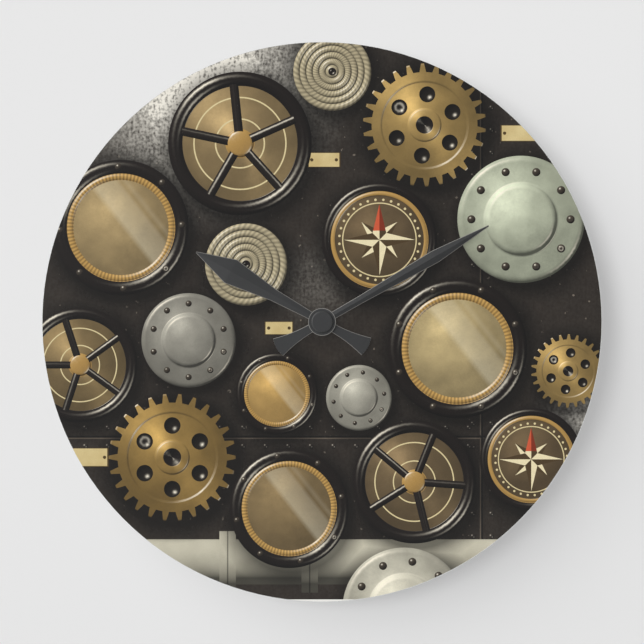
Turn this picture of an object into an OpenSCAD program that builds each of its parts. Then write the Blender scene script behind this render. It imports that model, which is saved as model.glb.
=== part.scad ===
// Round engine room wall clock: a printed acrylic disc, two hands and a quartz movement
// The pieces are drawn face up, with the wall at height 0 and the viewer above, and then stood upright

/* [Face disc] */
// Diameter of the acrylic disc
face_d = 273; // [200:1:360]
// Thickness of the acrylic disc
face_t = 4.8; // [3:0.1:8]
// Chamfer round the front and back edge of the disc
face_chamfer = 0.2; // [0.1:0.05:1]
// Thickness of the printed film on the disc
print_t = 0.15; // [0.1:0.05:0.4]

/* [Minute hand] */
// Arbor to the tip of the minute hand
minute_reach = 93.4; // [75:0.1:98]
// Arbor to the widest place of the minute hand
minute_wide_at = 63.5; // [45:0.1:70]
// Greatest width of the minute hand
minute_wide = 6.4; // [5:0.1:10]
// Width of the minute hand where its blade leaves the hub
minute_root = 3.7; // [3:0.1:3.9]
// Width of the minute hand at the end of its slender neck
minute_neck = 3.9; // [3.9:0.1:4.5]
// Arbor to the end of the minute hand's neck
minute_neck_at = 21; // [15:0.5:30]
// Slope of the two facets that rise to the ridge of the minute hand's blade
minute_slope = 0.15; // [0.02:0.01:0.15]
// Angle of the minute hand, clockwise from twelve
minute_angle = 60; // [0:1:359]

/* [Hour hand] */
// Arbor to the tip of the hour hand
hour_reach = 69.9; // [55:0.1:90]
// Arbor to the widest place of the hour hand
hour_wide_at = 50.7; // [35:0.1:52]
// Greatest width of the hour hand
hour_wide = 12.8; // [8:0.1:16]
// Width of the hour hand where its blade leaves the hub
hour_root = 3.8; // [3:0.1:5]
// Width of the hour hand at the end of its neck
hour_neck = 6; // [5:0.1:7]
// Arbor to the end of the hour hand's neck
hour_neck_at = 27; // [20:0.5:30]
// Slope of the two facets that rise to the ridge of the hour hand's blade
hour_slope = 0.06; // [0.02:0.01:0.07]
// Angle of the hour hand, clockwise from twelve
hour_angle = 299; // [0:1:359]

/* [Both hands] */
// Arbor to the end of a hand's tail
tail_reach = 25.5; // [18:0.1:35]
// Width of a tail at its end
tail_wide = 9.7; // [6:0.1:14]
// Width of a tail where it leaves the hub
tail_root = 4.2; // [3:0.1:5]
// How far the tail's end bulges past its corners
tail_bulge = 0.9; // [0.5:0.1:2]
// Thickness of the aluminium sheet
hand_t = 0.5; // [0.4:0.05:0.7]
// Chamfer along the sheet's cut edge
hand_chamfer = 0.25; // [0.1:0.05:0.3]
// Diameter of a hand's hub
hub_d = 13.4; // [12.8:0.1:16]
// Thickness of a hand's hub
hub_t = 1.2; // [1.2:0.1:2]
// Diameter of the cap nut that holds the hands
cap_d = 10.4; // [7:0.1:12]
// Height of the cap nut
cap_h = 2.2; // [2:0.1:4]

/* [Fixing of the disc] */
// Outer diameter of the movement's threaded bush
bush_d = 7.8; // [7:0.1:9]
// Length of thread that stands out of the nut
bush_spare = 0.5; // [0.3:0.1:3]
// Width of the hexagon nut across its corners
nut_d = 11.5; // [10.5:0.1:12.4]
// Thickness of the hexagon nut
nut_t = 2; // [1.5:0.1:3]
// Diameter of the brass washer under the nut
washer_d = 12.8; // [11.6:0.1:13]
// Thickness of the brass washer
washer_t = 0.4; // [0.3:0.1:1]
// Diameter of the rubber washer behind the disc
rubber_d = 18; // [14:0.5:24]
// Thickness of the rubber washer
rubber_t = 1; // [0.5:0.1:2]

/* [Hanger bracket] */
// Thickness of the steel sheet
hanger_t = 1; // [0.8:0.1:1.5]
// Width of the bracket
hanger_w = 24; // [20:1:40]
// Diameter of the keyhole's round entry
keyhole_d = 8; // [7:0.1:10]
// Width of the keyhole's slot
keyhole_slot = 4; // [3:0.1:4.5]
// Keyhole's round entry to the end of its slot
keyhole_rise = 7; // [6:0.1:10]
// Space between the bracket's rear flange and the wall
hanger_off_wall = 0.7; // [0.3:0.1:2]

/* [Movement case] */
// Thickness of the moulded side walls
wall = 1.2; // [0.8:0.1:2]
// Thickness of the rear wall
floor_t = 1.4; // [1:0.1:2]
// Thickness of the front cover
cover_t = 1.4; // [1.2:0.1:2]
// Radius of the case's upright edges
corner_r = 3; // [1:0.5:4]
// Chamfer round the case's rear and front edge
case_chamfer = 0.6; // [0.2:0.1:0.9]
// Diameter of the setting knob
knob_d = 10; // [8:0.5:11]
// Thickness of the setting knob
knob_t = 2.2; // [1.6:0.1:2.6]

/* [Battery] */
// Diameter of the cell over its sleeve
battery_d = 14.5; // [13.5:0.1:14.5]
// Length of the cell over its button
battery_l = 50.5; // [48:0.1:51]
// Space at each end of the cell for its contacts
contact_room = 1.55; // [1.4:0.05:3]
// Space beside the cell in its bay
bay_gap = 0.35; // [0.2:0.05:1]

/* [Gear train] */
// Module of the centre wheel and the third pinion
centre_m = 0.3; // [0.28:0.005:0.31]
// Module of the second wheel and the fifth pinion
second_m = 0.31; // [0.3:0.005:0.315]
// Module of the fifth wheel and the rotor pinion
fifth_m = 0.24; // [0.22:0.01:0.25]
// Module of the motion wheel and the cannon pinion
motion_m = 0.48; // [0.47:0.005:0.5]
// Thickness of a wheel's rim
wheel_t = 0.7; // [0.6:0.05:0.9]
// Space between one wheel and the next
level_gap = 0.7; // [0.6:0.05:0.9]
// Radial clearance of everything that turns
running_gap = 0.05; // [0.02:0.01:0.08]

/* [Stepping motor] */
// Diameter of the rotor's magnet
magnet_d = 4.4; // [4:0.1:4.6]
// Height of the rotor's magnet
magnet_h = 2.2; // [1.6:0.1:2.4]
// Diameter of the coil
coil_d = 4.8; // [4:0.1:5]
// Length of the coil between its flanges
coil_l = 22; // [14:0.5:24]
// Thickness of the stator plate and of the coil's core
iron_t = 1; // [0.6:0.1:1]

/* [Hidden] */
$fn = 96;
e = 0.01;

// Tooth counts: 30 turns of the rotor are one of the second wheel, 60 of that one of the minute arbor,
// and 12 of the minute arbor one of the hour wheel
rotor_teeth = 12;
fifth_teeth = 60;
fifth_leaves = 10;
second_teeth = 60;
second_leaves = 8;
third_teeth = 60;
third_leaves = 8;
centre_teeth = 64;
cannon_leaves = 12;
motion_teeth = 36;
motion_leaves = 10;
hour_teeth = 40;

// Tooth flanks from root to tip: height over the pitch line in modules, and share of the half thickness
wheel_flank = [[-1.2, 1.05], [0, 1], [0.5, 0.8], [0.9, 0.4]];
leaf_flank = [[-1.25, 1], [0, 1], [0.4, 0.85], [0.75, 0.45]];
wheel_share = 0.44;
leaf_share = 0.38;
wheel_tip = wheel_flank[3][0];

// Arbors around the centre arbor, by distance and by direction from three o'clock
third_angle = 150;
fifth_angle = 85;
motion_angle = 20;
rotor_angle = 60;
third_reach = centre_m * (third_leaves + centre_teeth) / 2;
fifth_reach = second_m * (fifth_leaves + second_teeth) / 2;
motion_reach = motion_m * (cannon_leaves + motion_teeth) / 2;
rotor_reach = fifth_m * (rotor_teeth + fifth_teeth) / 2;
third_m = 2 * third_reach / (second_leaves + third_teeth);
hour_m = 2 * motion_reach / (motion_leaves + hour_teeth);
third_at = polar(third_reach, third_angle);
fifth_at = polar(fifth_reach, fifth_angle);
motion_at = polar(motion_reach, motion_angle);
rotor_at = fifth_at + polar(rotor_reach, rotor_angle);

// Tooth positions that bring each pair into mesh
fifth_phase = meshed(rotor_angle + 180, rotor_teeth, 0, fifth_teeth);
second_phase = meshed(fifth_angle + 180, fifth_leaves, 0, second_teeth);
third_phase = meshed(third_angle, second_leaves, 0, third_teeth);
centre_phase = meshed(third_angle + 180, third_leaves, 0, centre_teeth);
motion_phase = meshed(motion_angle, cannon_leaves, 0, motion_teeth);
hour_phase = meshed(motion_angle + 180, motion_leaves, 0, hour_teeth);

// Heights of the levels inside the case, from the rear wall to the front
end_gap = 0.15;
// How far a pinion's leaves reach past the wheel that they drive
mesh_over = 0.25;
iron_seat = 1.5;
// Space between the core and the fifth wheel, and on both sides of the motion wheel
iron_gap = 0.2;
motion_gap = 0.4;
stator_z = floor_t + iron_seat;
core_z = stator_z + iron_t;
magnet_z = stator_z + (iron_t - magnet_h) / 2;
level = wheel_t + level_gap;
fifth_z = core_z + iron_t + iron_gap;
second_z = fifth_z + level;
third_z = second_z + level;
centre_z = third_z + level;
spring_z = centre_z + wheel_t;
spring_h = 0.35;
shoulder_t = 0.35;
bridge_z = spring_z + spring_h + shoulder_t + 0.1;
bridge_t = 1;
motion_z = bridge_z + bridge_t + motion_gap;
motion_t = wheel_t + 0.1;
hour_z = motion_z + motion_t + motion_gap;
hour_t = motion_t;
hour_boss = 0.75;
inside_h = hour_z + hour_t + hour_boss + end_gap;

// Battery bay, and the case around it and around the gear room
battery_back = bay_gap;
battery_front = bay_gap - 0.1;
case_h = max(inside_h, battery_back + battery_d + battery_front);
cover_z = case_h;
front_z = case_h + cover_t;
battery_z = battery_back + battery_d / 2;
largest_tip = max(centre_m * (centre_teeth / 2 + wheel_tip), second_m * (second_teeth / 2 + wheel_tip),
                  hour_m * (hour_teeth / 2 + wheel_tip));
// Space between the room's walls and the widest wheel, and between them and the coil
wheel_off_wall = 0.53;
coil_off_wall = 0.31;
coil_off_stator = 0.3;
rotor_gap = 0.4;
room_bottom = -largest_tip - wheel_off_wall;
stator_hole = magnet_d / 2 + rotor_gap;
stator_neck = 0.5;
coil_y = rotor_at[1] + stator_hole + stator_neck + coil_off_stator + coil_d / 2;
room_top = coil_y + coil_d / 2 + coil_off_wall;
room_x = battery_l / 2 + contact_room;
bay_top = room_bottom - wall;
bay_bottom = bay_top - battery_d - 2 * bay_gap;
battery_y = (bay_top + bay_bottom) / 2;
case_x = room_x + wall;
case_top = room_top + wall;
case_bottom = bay_bottom - wall;

// Stack of pieces in front of the case
rubber_z = front_z + hanger_t;
face_z = rubber_z + rubber_t;
print_z = face_z + face_t;
washer_z = print_z + print_t;
nut_z = washer_z + washer_t;
bush_z = nut_z + nut_t + bush_spare;
hub_off_bush = 0.4;
hour_hub_z = bush_z + hub_off_bush;
hub_gap = 0.5;
minute_hub_z = hour_hub_z + hub_t + hub_gap;
cap_z = minute_hub_z + hub_t;
// A blade lies this far over the rear face of its hub, and is rooted this deep in the hub
blade_inset = 0.15;
blade_root = 1.3;

// Shafts
push_gap = 0.02;
pin_r = 0.45;
arbor_r = 0.5;
journal_r = 1.6;
minute_r = 1.8;
tube_r = 2.5;
motion_r = 1.2;
knob_bore_r = 1;
thread_r = 1.6;
flange_r = 2.4;
hole_gap = 0.3;

// Setting knob in its well
knob_gap = 0.6;
knob_off_wall = 0.4;
well_z = knob_off_wall + knob_t + 0.2;
well_t = 1.2;
well_r = knob_d / 2 + knob_gap;

// Posts that carry the bridge, each by its way in from the room's nearest corner
post_r = 1.8;
post_pin_r = 0.9;
post_head_r = 1.4;
post_off_side = [4.3, 3.3, 4.3, 9.8];
post_off_end = [4.3, 14.8, 3.4, 3];
posts = [[post_off_side[0] - room_x, room_top - post_off_end[0]],
         [room_x - post_off_side[1], room_top - post_off_end[1]],
         [room_x - post_off_side[2], room_bottom + post_off_end[2]],
         [post_off_side[3] - room_x, room_bottom + post_off_end[3]]];

// Coil and its core, and the pins that stake the core and the stator together
core_leg = 3;
core_w = 2.4;
core_reach = 5.8;
core_l = coil_l + 2 * core_reach;
core_x = rotor_at[0] - 1.27;
coil_sleeve_r = 1.6;
coil_flange_t = 0.8;
stake_y = rotor_at[1] - 0.8;
stakes = [for (s = [-1, 1]) [core_x + s * (core_l - core_leg) / 2, stake_y]];
stake_r = 0.75;
stake_foot_r = 1.6;

// Circuit board along the left wall
board_t = 0.8;
board_z = stator_z;
board_off_wall = 0.6;
board_w = 5.8;
board_x = [board_off_wall - room_x, board_off_wall + board_w - room_x];
board_y = [room_bottom + 1.9, room_top - 9.3];
board_mid = (board_x[0] + board_x[1]) / 2;
board_top = board_z + board_t;
board_pins = [[board_mid, board_y[0] + 4.5], [board_mid, board_y[1] - 1.2]];

// Contact strips in their corners of the bay and of the gear room, and the ribs that guide their plates
strip_t = 0.3;
strip_h = 2;
strip_off_wall = 0.05;
strip_slot = 0.6;
room_corner_r = 0.6;
plate_w = 9;
plate_z = [2.5, case_h - 2.6];
guide_w = 0.8;
guide_gap = 0.15;
guide_h = 0.7;

// Cell
button_l = 1.2;
button_r = 2.75;
sleeve_t = 0.2;

// Ribs of the cover that cradle the cell: from the middle of the bay to each, thickness and height
rib_at = 13;
rib_t = 1.2;
rib_h = 4.2;
rib_gap = 0.3;

// Clips: the cover's hooks catch in windows in the case's side walls
clip_off_end = [8.4, 11.8];
clip_y = [room_bottom + clip_off_end[0], room_top - clip_off_end[1]];
clip_w = 5;
clip_leg = 0.8;
clip_barb = 0.6;
clip_drop = 3;
clip_gap = 0.1;
clip_window = 1.4;

function polar(r, a) = [r * cos(a), r * sin(a)];

// Points of an arc round c from angle a to angle b
function arc(c, r, a, b, steps = 6) = [for (i = [0:steps]) c + polar(r, a + (b - a) * i / steps)];

// Phase of a gear with b teeth that meshes at direction a with a gear of t teeth and phase p
function meshed(a, t, p, b) = a + 180 + 180 / b - (p - a) * t / b;

// Outline of a gear: every tooth goes up one flank and down the other
function gear_outline(teeth, m, share, flank, phase) =
    let (half = share * 180 / teeth, n = len(flank))
    [for (i = [0:teeth - 1], k = [0:2 * n - 1])
        let (side = k < n ? -1 : 1, f = flank[k < n ? k : 2 * n - 1 - k])
        polar(m * (teeth / 2 + f[0]), phase + 360 * i / teeth + side * half * f[1])];

// Half widths of a hand along its length: the tail's bulged end, its flare, and the blade's straight edges
function stations(reach, wide_at, wide, neck_at, neck, root) = concat(
    [for (u = [0.08, 0.35, 0.7, 1]) [tail_bulge * u * u - tail_reach, max(u * tail_wide / 2, tip_half)]],
    [for (i = [1:6])
        let (u = 1 - i / 6)
        [-hub_inside - u * (tail_reach - tail_bulge - hub_inside),
         (tail_root + (tail_wide - tail_root) * u * u) / 2]],
    [[hub_inside, root / 2], [neck_at, neck / 2], [wide_at, wide / 2], [reach, tip_half]]);
hub_inside = hub_d / 2 - blade_root;
tip_half = 0.35;

// One cross-section of a hand: flat back, cut edges, chamfers, and on the blade the two facets of the ridge
function section(s, w, slope) =
    let (low = hand_t - hand_chamfer, top = w - hand_chamfer, rise = s > 0 ? slope * top : 0)
    [[s, -w, 0], [s, w, 0], [s, w, low], [s, top, hand_t], [s, 0, hand_t + rise],
     [s, -top, hand_t], [s, -w, low]];

// A gear of height h standing at height z
module spur(teeth, m, share, flank, phase, z, h) {
    translate([0, 0, z])
        linear_extrude(h)
            polygon(gear_outline(teeth, m, share, flank, phase));
}

module wheel(teeth, m, phase, z, h = wheel_t) {
    spur(teeth, m, wheel_share, wheel_flank, phase, z, h);
}

module pinion(leaves, m, phase, z, h) {
    spur(leaves, m, leaf_share, leaf_flank, phase, z, h);
}

// A round bar from height a to height b
module bar(r, a, b) {
    translate([0, 0, a])
        cylinder(r = r, h = b - a);
}

// A ring cut that thins a wheel's web on its rear side
module web_cut(inner, outer, z) {
    difference() {
        bar(outer, z - 1, z + wheel_t / 3);
        bar(inner, z - 2, z + wheel_t);
    }
}

// A plate between two corners, with its own corners rounded
module slab(low, high, z, h, r) {
    translate([0, 0, z])
        linear_extrude(h) {
            translate([low[0] + r, low[1]])
                square([high[0] - low[0] - 2 * r, high[1] - low[1]]);
            translate([low[0], low[1] + r])
                square([high[0] - low[0], high[1] - low[1] - 2 * r]);
            for (x = [low[0] + r, high[0] - r], y = [low[1] + r, high[1] - r])
                translate([x, y])
                    circle(r);
        }
}

// Section of a bar from a to b and of height h, whose two sides spread over its lowest c
function footed_bar(a, b, h, c) = [[a + c, 0], [b - c, 0], [b, c], [b, h], [a, h], [a, c]];

// Such a plate with a chamfered foot: a bar each way, and a turned post in each corner
module footed_slab(low, high, h, r, c) {
    translate([low[0] + r, 0, 0])
        rotate([90, 0, 90])
            linear_extrude(high[0] - low[0] - 2 * r)
                polygon(footed_bar(low[1], high[1], h, c));
    translate([0, high[1] - r, 0])
        rotate([90, 0, 0])
            linear_extrude(high[1] - low[1] - 2 * r)
                polygon(footed_bar(low[0], high[0], h, c));
    for (x = [low[0] + r, high[0] - r], y = [low[1] + r, high[1] - r])
        translate([x, y])
            rotate_extrude()
                polygon([[0, 0], [r - c, 0], [r, c], [r, h], [0, h]]);
}

module block(low, high) {
    translate(low)
        cube(high - low);
}

// Stands the clock up: the height over the wall becomes the way to the front
module upright() {
    rotate([90, 0, 0])
        children();
}

module face_disc() {
    r = face_d / 2;
    c = face_chamfer;
    color("gainsboro")
        upright()
            translate([0, 0, face_z])
                rotate_extrude($fn = 360)
                    polygon([[bush_d / 2 + hole_gap, 0], [r - c, 0], [r, c], [r, face_t - c],
                             [r - c, face_t], [bush_d / 2 + hole_gap, face_t]]);
}

module printed_face() {
    color([0.18, 0.16, 0.15])
        upright()
            difference() {
                translate([0, 0, print_z])
                    cylinder(d = face_d - 2 * face_chamfer, h = print_t, $fn = 360);
                bar(bush_d / 2 + hole_gap, print_z - 1, print_z + 1);
            }
}

module dial_washer() {
    color("goldenrod")
        upright()
            difference() {
                bar(washer_d / 2, washer_z, nut_z);
                bar(bush_d / 2 + hole_gap / 2, washer_z - 1, nut_z + 1);
            }
}

module hex_nut() {
    c = 0.4;
    r = nut_d / 2;
    color("goldenrod")
        upright()
            difference() {
                intersection() {
                    translate([0, 0, nut_z])
                        cylinder(r = r, h = nut_t, $fn = 6);
                    translate([0, 0, nut_z])
                        rotate_extrude()
                            polygon([[0, 0], [r + e, 0], [r + e, nut_t - c], [r - 2 * c, nut_t],
                                     [0, nut_t]]);
                }
                bar(bush_d / 2 + push_gap, nut_z - 1, nut_z + nut_t + 1);
            }
}

module rubber_washer() {
    color([0.12, 0.12, 0.12])
        upright()
            difference() {
                bar(rubber_d / 2, rubber_z, face_z);
                bar(bush_d / 2 + hole_gap / 2, rubber_z - 1, face_z + 1);
            }
}

// A strip of sheet that lies on the case, steps back over its top and ends in a flange with the keyhole
module hanger_bracket() {
    r = 0.6;
    web = case_top + 0.9;
    back = hanger_off_wall;
    foot = hanger_w / 2;
    key_y = web + 8.1;
    top = key_y + keyhole_rise + 2.1;
    front_bend = [web - r, front_z - r];
    rear_bend = [web + hanger_t + r, back + hanger_t + r];
    profile = concat(
        [[-foot, front_z]], arc(front_bend, r, 90, 0), arc(rear_bend, r + hanger_t, 180, 270),
        [[top, back], [top, back + hanger_t]], arc(rear_bend, r, 270, 180),
        arc(front_bend, r + hanger_t, 0, 90), [[-foot, front_z + hanger_t]]);
    color("silver")
        upright()
            difference() {
                intersection() {
                    rotate([90, 0, 90])
                        linear_extrude(hanger_w + 2, center = true)
                            polygon(profile);
                    slab([-foot, -foot + e], [foot, top - e], -1, front_z + 4, 5);
                }
                bar(bush_d / 2 + hole_gap / 2, front_z - 1, front_z + hanger_t + 1);
                translate([0, key_y, -1])
                    cylinder(d = keyhole_d, h = 5);
                translate([-keyhole_slot / 2, key_y, -1])
                    cube([keyhole_slot, keyhole_rise - keyhole_slot / 2, 5]);
                translate([0, key_y + keyhole_rise - keyhole_slot / 2, -1])
                    cylinder(r = keyhole_slot / 2 + e, h = 5);
            }
}

// A tube that stands on the rear wall at p and holds an arbor's end up to height top
module pivot_boss(p, r, top) {
    translate(p)
        bar(r, floor_t - 0.2, top);
}

module pivot_bore(p, r, top, depth = 0.8) {
    translate(p)
        bar(r + running_gap, top - depth, top + 1);
}

// Windows in the side walls, where the cover's hooks catch
module case_windows() {
    for (side = [-1, 1], y = clip_y)
        translate([side * case_x, y, cover_z - clip_drop + clip_gap - clip_window / 2])
            cube([2 * wall + 0.2, clip_w + 2 * hole_gap, clip_window], center = true);
}

// Openings in the wall between the bay and the gear room, where the contact strips pass
module strip_slots() {
    for (side = [-1, 1])
        translate([side * (room_x - strip_slot / 2), bay_top + wall / 2, board_top + strip_h / 2 + 0.2])
            cube([strip_slot, wall + 2, strip_h + 2 * strip_t], center = true);
}

// Ribs on the bay's end walls that keep each contact plate in its place, clear of the strip that leads away
module contact_guides() {
    low = board_top + strip_h + guide_gap;
    high = plate_z[1];
    x = room_x + (0.2 - guide_h) / 2;
    y = plate_w / 2 + guide_gap + guide_w / 2;
    for (side = [-1, 1], edge = [-1, 1])
        translate([side * x, battery_y + edge * y, (low + high) / 2])
            cube([guide_h + 0.2, guide_w, high - low], center = true);
}

// A post with the riveted head that holds the bridge
module bridge_post() {
    bar(post_r, floor_t - 0.2, bridge_z);
    bar(post_pin_r, bridge_z - 0.2, bridge_z + bridge_t + 0.2);
    bar(post_head_r, bridge_z + bridge_t + 0.03, bridge_z + bridge_t + 0.35);
}

module movement_rear_housing() {
    low = [-case_x, case_bottom];
    high = [case_x, case_top];
    second_top = second_z - end_gap;
    third_top = second_z - 2 * end_gap;
    fifth_top = fifth_z - end_gap;
    rotor_top = magnet_z - end_gap;
    color([0.13, 0.13, 0.14])
        upright()
            difference() {
                union() {
                    difference() {
                        footed_slab(low, high, case_h, corner_r, case_chamfer);
                        slab([-room_x, room_bottom], [room_x, room_top], floor_t, case_h, room_corner_r);
                        slab([-room_x, bay_bottom], [room_x, bay_top], -1, case_h + 2, room_corner_r);
                        case_windows();
                        strip_slots();
                    }
                    contact_guides();
                    translate(motion_at)
                        bar(well_r + wall, floor_t - 0.2, well_z + well_t);
                    pivot_boss([0, 0], 1.5, second_top);
                    pivot_boss(third_at, 1.2, third_top);
                    pivot_boss(fifth_at, 1.2, fifth_top);
                    for (p = posts)
                        translate(p)
                            bridge_post();
                    for (p = stakes)
                        translate(p) {
                            bar(stake_foot_r, floor_t - 0.2, stator_z);
                            bar(stake_r, stator_z - 0.2, core_z + iron_t + 0.4);
                        }
                    for (p = board_pins)
                        translate(p) {
                            bar(1.2, floor_t - 0.2, board_z);
                            bar(arbor_r, board_z - 0.2, board_top + 0.3);
                        }
                }
                translate(motion_at) {
                    bar(well_r, -1, well_z);
                    bar(motion_r + running_gap, well_z - 1, well_z + well_t + 1);
                }
                pivot_bore([0, 0], pin_r, second_top);
                pivot_bore(third_at, arbor_r, third_top);
                pivot_bore(fifth_at, arbor_r, fifth_top);
                pivot_bore(rotor_at, arbor_r, rotor_top);
            }
}

// Ribs that cradle the cell stand on the cover inside the bay
module cradle_ribs() {
    difference() {
        for (x = [-rib_at, rib_at])
            block([x - rib_t / 2, bay_bottom + rib_gap, cover_z - rib_h],
                  [x + rib_t / 2, bay_top - rib_gap, cover_z + 0.2]);
        translate([-room_x, battery_y, battery_z])
            rotate([0, 90, 0])
                cylinder(d = battery_d + 0.4, h = 2 * room_x);
    }
}

module clip_hooks() {
    hook = [[0, 0.2], [0, -clip_drop], [clip_barb, -clip_drop], [0, -clip_drop - 2 * clip_barb],
            [-clip_leg, -clip_drop - 2 * clip_barb], [-clip_leg, 0.2]];
    for (side = [-1, 1], y = clip_y)
        translate([0, y + clip_w / 2, 0])
            rotate([90, 0, 0])
                linear_extrude(clip_w)
                    polygon([for (p = hook) [side * (room_x - clip_gap + p[0]), cover_z + p[1]]]);
}

// The front plate, with its chamfer towards the viewer
module cover_plate() {
    translate([0, 0, front_z])
        mirror([0, 0, 1])
            footed_slab([-case_x, case_bottom], [case_x, case_top], cover_t, corner_r, case_chamfer);
}

module movement_front_cover() {
    color([0.13, 0.13, 0.14])
        upright()
            difference() {
                union() {
                    cover_plate();
                    bar(bush_d / 2, cover_z + 0.2, bush_z);
                    cradle_ribs();
                    clip_hooks();
                }
                bar(tube_r + running_gap, cover_z - 1, bush_z + 1);
                translate(motion_at)
                    bar(arbor_r + 0.2 + running_gap, cover_z - 1, cover_z + 0.9);
            }
}

module train_bridge() {
    edge = 1.2;
    color([0.75, 0.74, 0.7])
        upright()
            difference() {
                slab([edge - room_x, room_bottom + edge], [room_x - edge, room_top - edge],
                     bridge_z, bridge_t, 2);
                bar(journal_r + running_gap, bridge_z - 1, bridge_z + 2);
                translate(motion_at)
                    bar(motion_r + running_gap, bridge_z - 1, bridge_z + 2);
                for (p = [third_at, fifth_at, rotor_at])
                    translate(p)
                        bar(arbor_r + running_gap, bridge_z - 1, bridge_z + 2);
                for (p = posts)
                    translate(p)
                        bar(post_pin_r + running_gap, bridge_z - 1, bridge_z + 2);
            }
}

// Blade and tail of a hand, lofted through its stations, pointing to three o'clock
module hand_blade(list, slope) {
    n = len(list);
    points = [for (s = list) each section(s[0], s[1], slope)];
    sides = [for (i = [0:n - 2], k = [0:6])
        let (a = 7 * i + k, b = 7 * i + (k + 1) % 7)
        each [[a, a + 7, b + 7], [a, b + 7, b]]];
    tail_end = [for (k = [1:5]) [0, k, k + 1]];
    tip_end = [for (k = [1:5]) [7 * (n - 1), 7 * (n - 1) + k + 1, 7 * (n - 1) + k]];
    polyhedron(points, concat(sides, tail_end, tip_end));
}

module hand(list, slope, angle, z, bore) {
    difference() {
        union() {
            bar(hub_d / 2, z, z + hub_t);
            translate([0, 0, z + blade_inset])
                rotate([0, 0, 90 - angle])
                    hand_blade(list, slope);
        }
        bar(bore, z - 1, z + hub_t + 1);
    }
}

module hour_hand() {
    color([0.2, 0.22, 0.24])
        upright()
            hand(stations(hour_reach, hour_wide_at, hour_wide,
                          hour_neck_at, hour_neck, hour_root),
                 hour_slope, hour_angle, hour_hub_z, tube_r + push_gap);
}

module minute_hand() {
    color([0.2, 0.22, 0.24])
        upright()
            hand(stations(minute_reach, minute_wide_at, minute_wide,
                          minute_neck_at, minute_neck, minute_root),
                 minute_slope, minute_angle, minute_hub_z, thread_r + push_gap);
}

// A low round cap with a blind thread
module hand_cap_nut() {
    r = cap_d / 2;
    round_r = 0.6;
    color([0.2, 0.22, 0.24])
        upright()
            difference() {
                translate([0, 0, cap_z])
                    rotate_extrude()
                        polygon(concat([[0, 0], [r, 0]],
                                       arc([r - round_r, cap_h - round_r], round_r, 0, 90),
                                       [[0, cap_h]]));
                bar(thread_r + push_gap, cap_z - 1, cap_z + cap_h - 0.6);
            }
}

// Hollow arbor of the minute hand, with the cannon pinion and the seat of the slipping centre wheel
module minute_arbor() {
    barrel_r = 1.5;
    cannon_z = motion_z - mesh_over;
    cannon_top = motion_z + motion_t + mesh_over;
    color("gold")
        upright()
            difference() {
                union() {
                    bar(flange_r, centre_z - 0.3, centre_z - 0.05);
                    bar(barrel_r, centre_z - 0.2, spring_z + spring_h + 0.1);
                    bar(flange_r, spring_z + spring_h, spring_z + spring_h + shoulder_t);
                    bar(journal_r, bridge_z - 0.3, cannon_z + 0.1);
                    pinion(cannon_leaves, motion_m, 0, cannon_z, cannon_top - cannon_z);
                    bar(minute_r, cannon_top - 0.1, minute_hub_z - 0.05);
                    bar(thread_r, minute_hub_z - 0.2, cap_z + cap_h - 0.7);
                }
                bar(pin_r + running_gap, centre_z - 1, minute_hub_z - 0.4);
            }
}

// Dished washer that presses the centre wheel against its flange
module clutch_spring() {
    inner = 1.55;
    outer = 3.6;
    t = 0.12;
    color("silver")
        upright()
            translate([0, 0, spring_z])
                rotate_extrude()
                    polygon([[inner, spring_h - t], [outer, 0.01], [outer, t], [inner, spring_h]]);
}

module centre_wheel() {
    color("ivory")
        upright()
            difference() {
                wheel(centre_teeth, centre_m, centre_phase, centre_z);
                bar(1.5 + running_gap, centre_z - 1, centre_z + 2);
                web_cut(4, 8, centre_z);
            }
}

module hour_wheel() {
    hub_bottom = hour_z - 0.05;
    hub_top = hour_z + hour_t + hour_boss;
    color("ivory")
        upright()
            difference() {
                union() {
                    wheel(hour_teeth, hour_m, hour_phase, hour_z, hour_t);
                    bar(3.3, hub_bottom, hub_top);
                    bar(tube_r, hub_top - 0.1, hour_hub_z + hub_t);
                }
                bar(minute_r + running_gap, hub_bottom - 1, hour_hub_z + hub_t + 1);
                web_cut(4.4, 7.6, hour_z);
            }
}

// Motion wheel and its pinion on the long shaft of the setting knob
module motion_wheel() {
    leaves_z = motion_z + motion_t - 0.1;
    leaves_top = hour_z + hour_t + mesh_over;
    color("ivory")
        upright()
            translate(motion_at)
                union() {
                    wheel(motion_teeth, motion_m, motion_phase, motion_z, motion_t);
                    pinion(motion_leaves, hour_m, 0, leaves_z, leaves_top - leaves_z);
                    bar(arbor_r + 0.2, leaves_top - 0.1, cover_z + 0.7);
                    bar(motion_r, well_z - 0.1, motion_z + 0.1);
                    bar(knob_bore_r, knob_off_wall + 0.5, well_z);
                }
}

module setting_knob() {
    ribs = 24;
    r = knob_d / 2;
    color([0.13, 0.13, 0.14])
        upright()
            translate(motion_at)
                difference() {
                    translate([0, 0, knob_off_wall])
                        linear_extrude(knob_t)
                            polygon([for (i = [0:4 * ribs - 1])
                                polar(i % 4 < 2 ? r : r - 0.35, 90 * i / ribs)]);
                    bar(knob_bore_r + push_gap, knob_off_wall + 0.45, knob_off_wall + knob_t + 1);
                    bar(r - 1.6, knob_off_wall - 1, knob_off_wall + 0.25);
                }
}

module third_wheel() {
    leaves_top = centre_z + wheel_t + mesh_over;
    color("ivory")
        upright()
            translate(third_at)
                difference() {
                    union() {
                        wheel(third_teeth, third_m, third_phase, third_z);
                        pinion(third_leaves, centre_m, 0, third_z + wheel_t - 0.1,
                               leaves_top - third_z - wheel_t + 0.1);
                        bar(arbor_r, second_z - 0.9, bridge_z + bridge_t);
                    }
                    web_cut(2.4, 8, third_z);
                }
}

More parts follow.
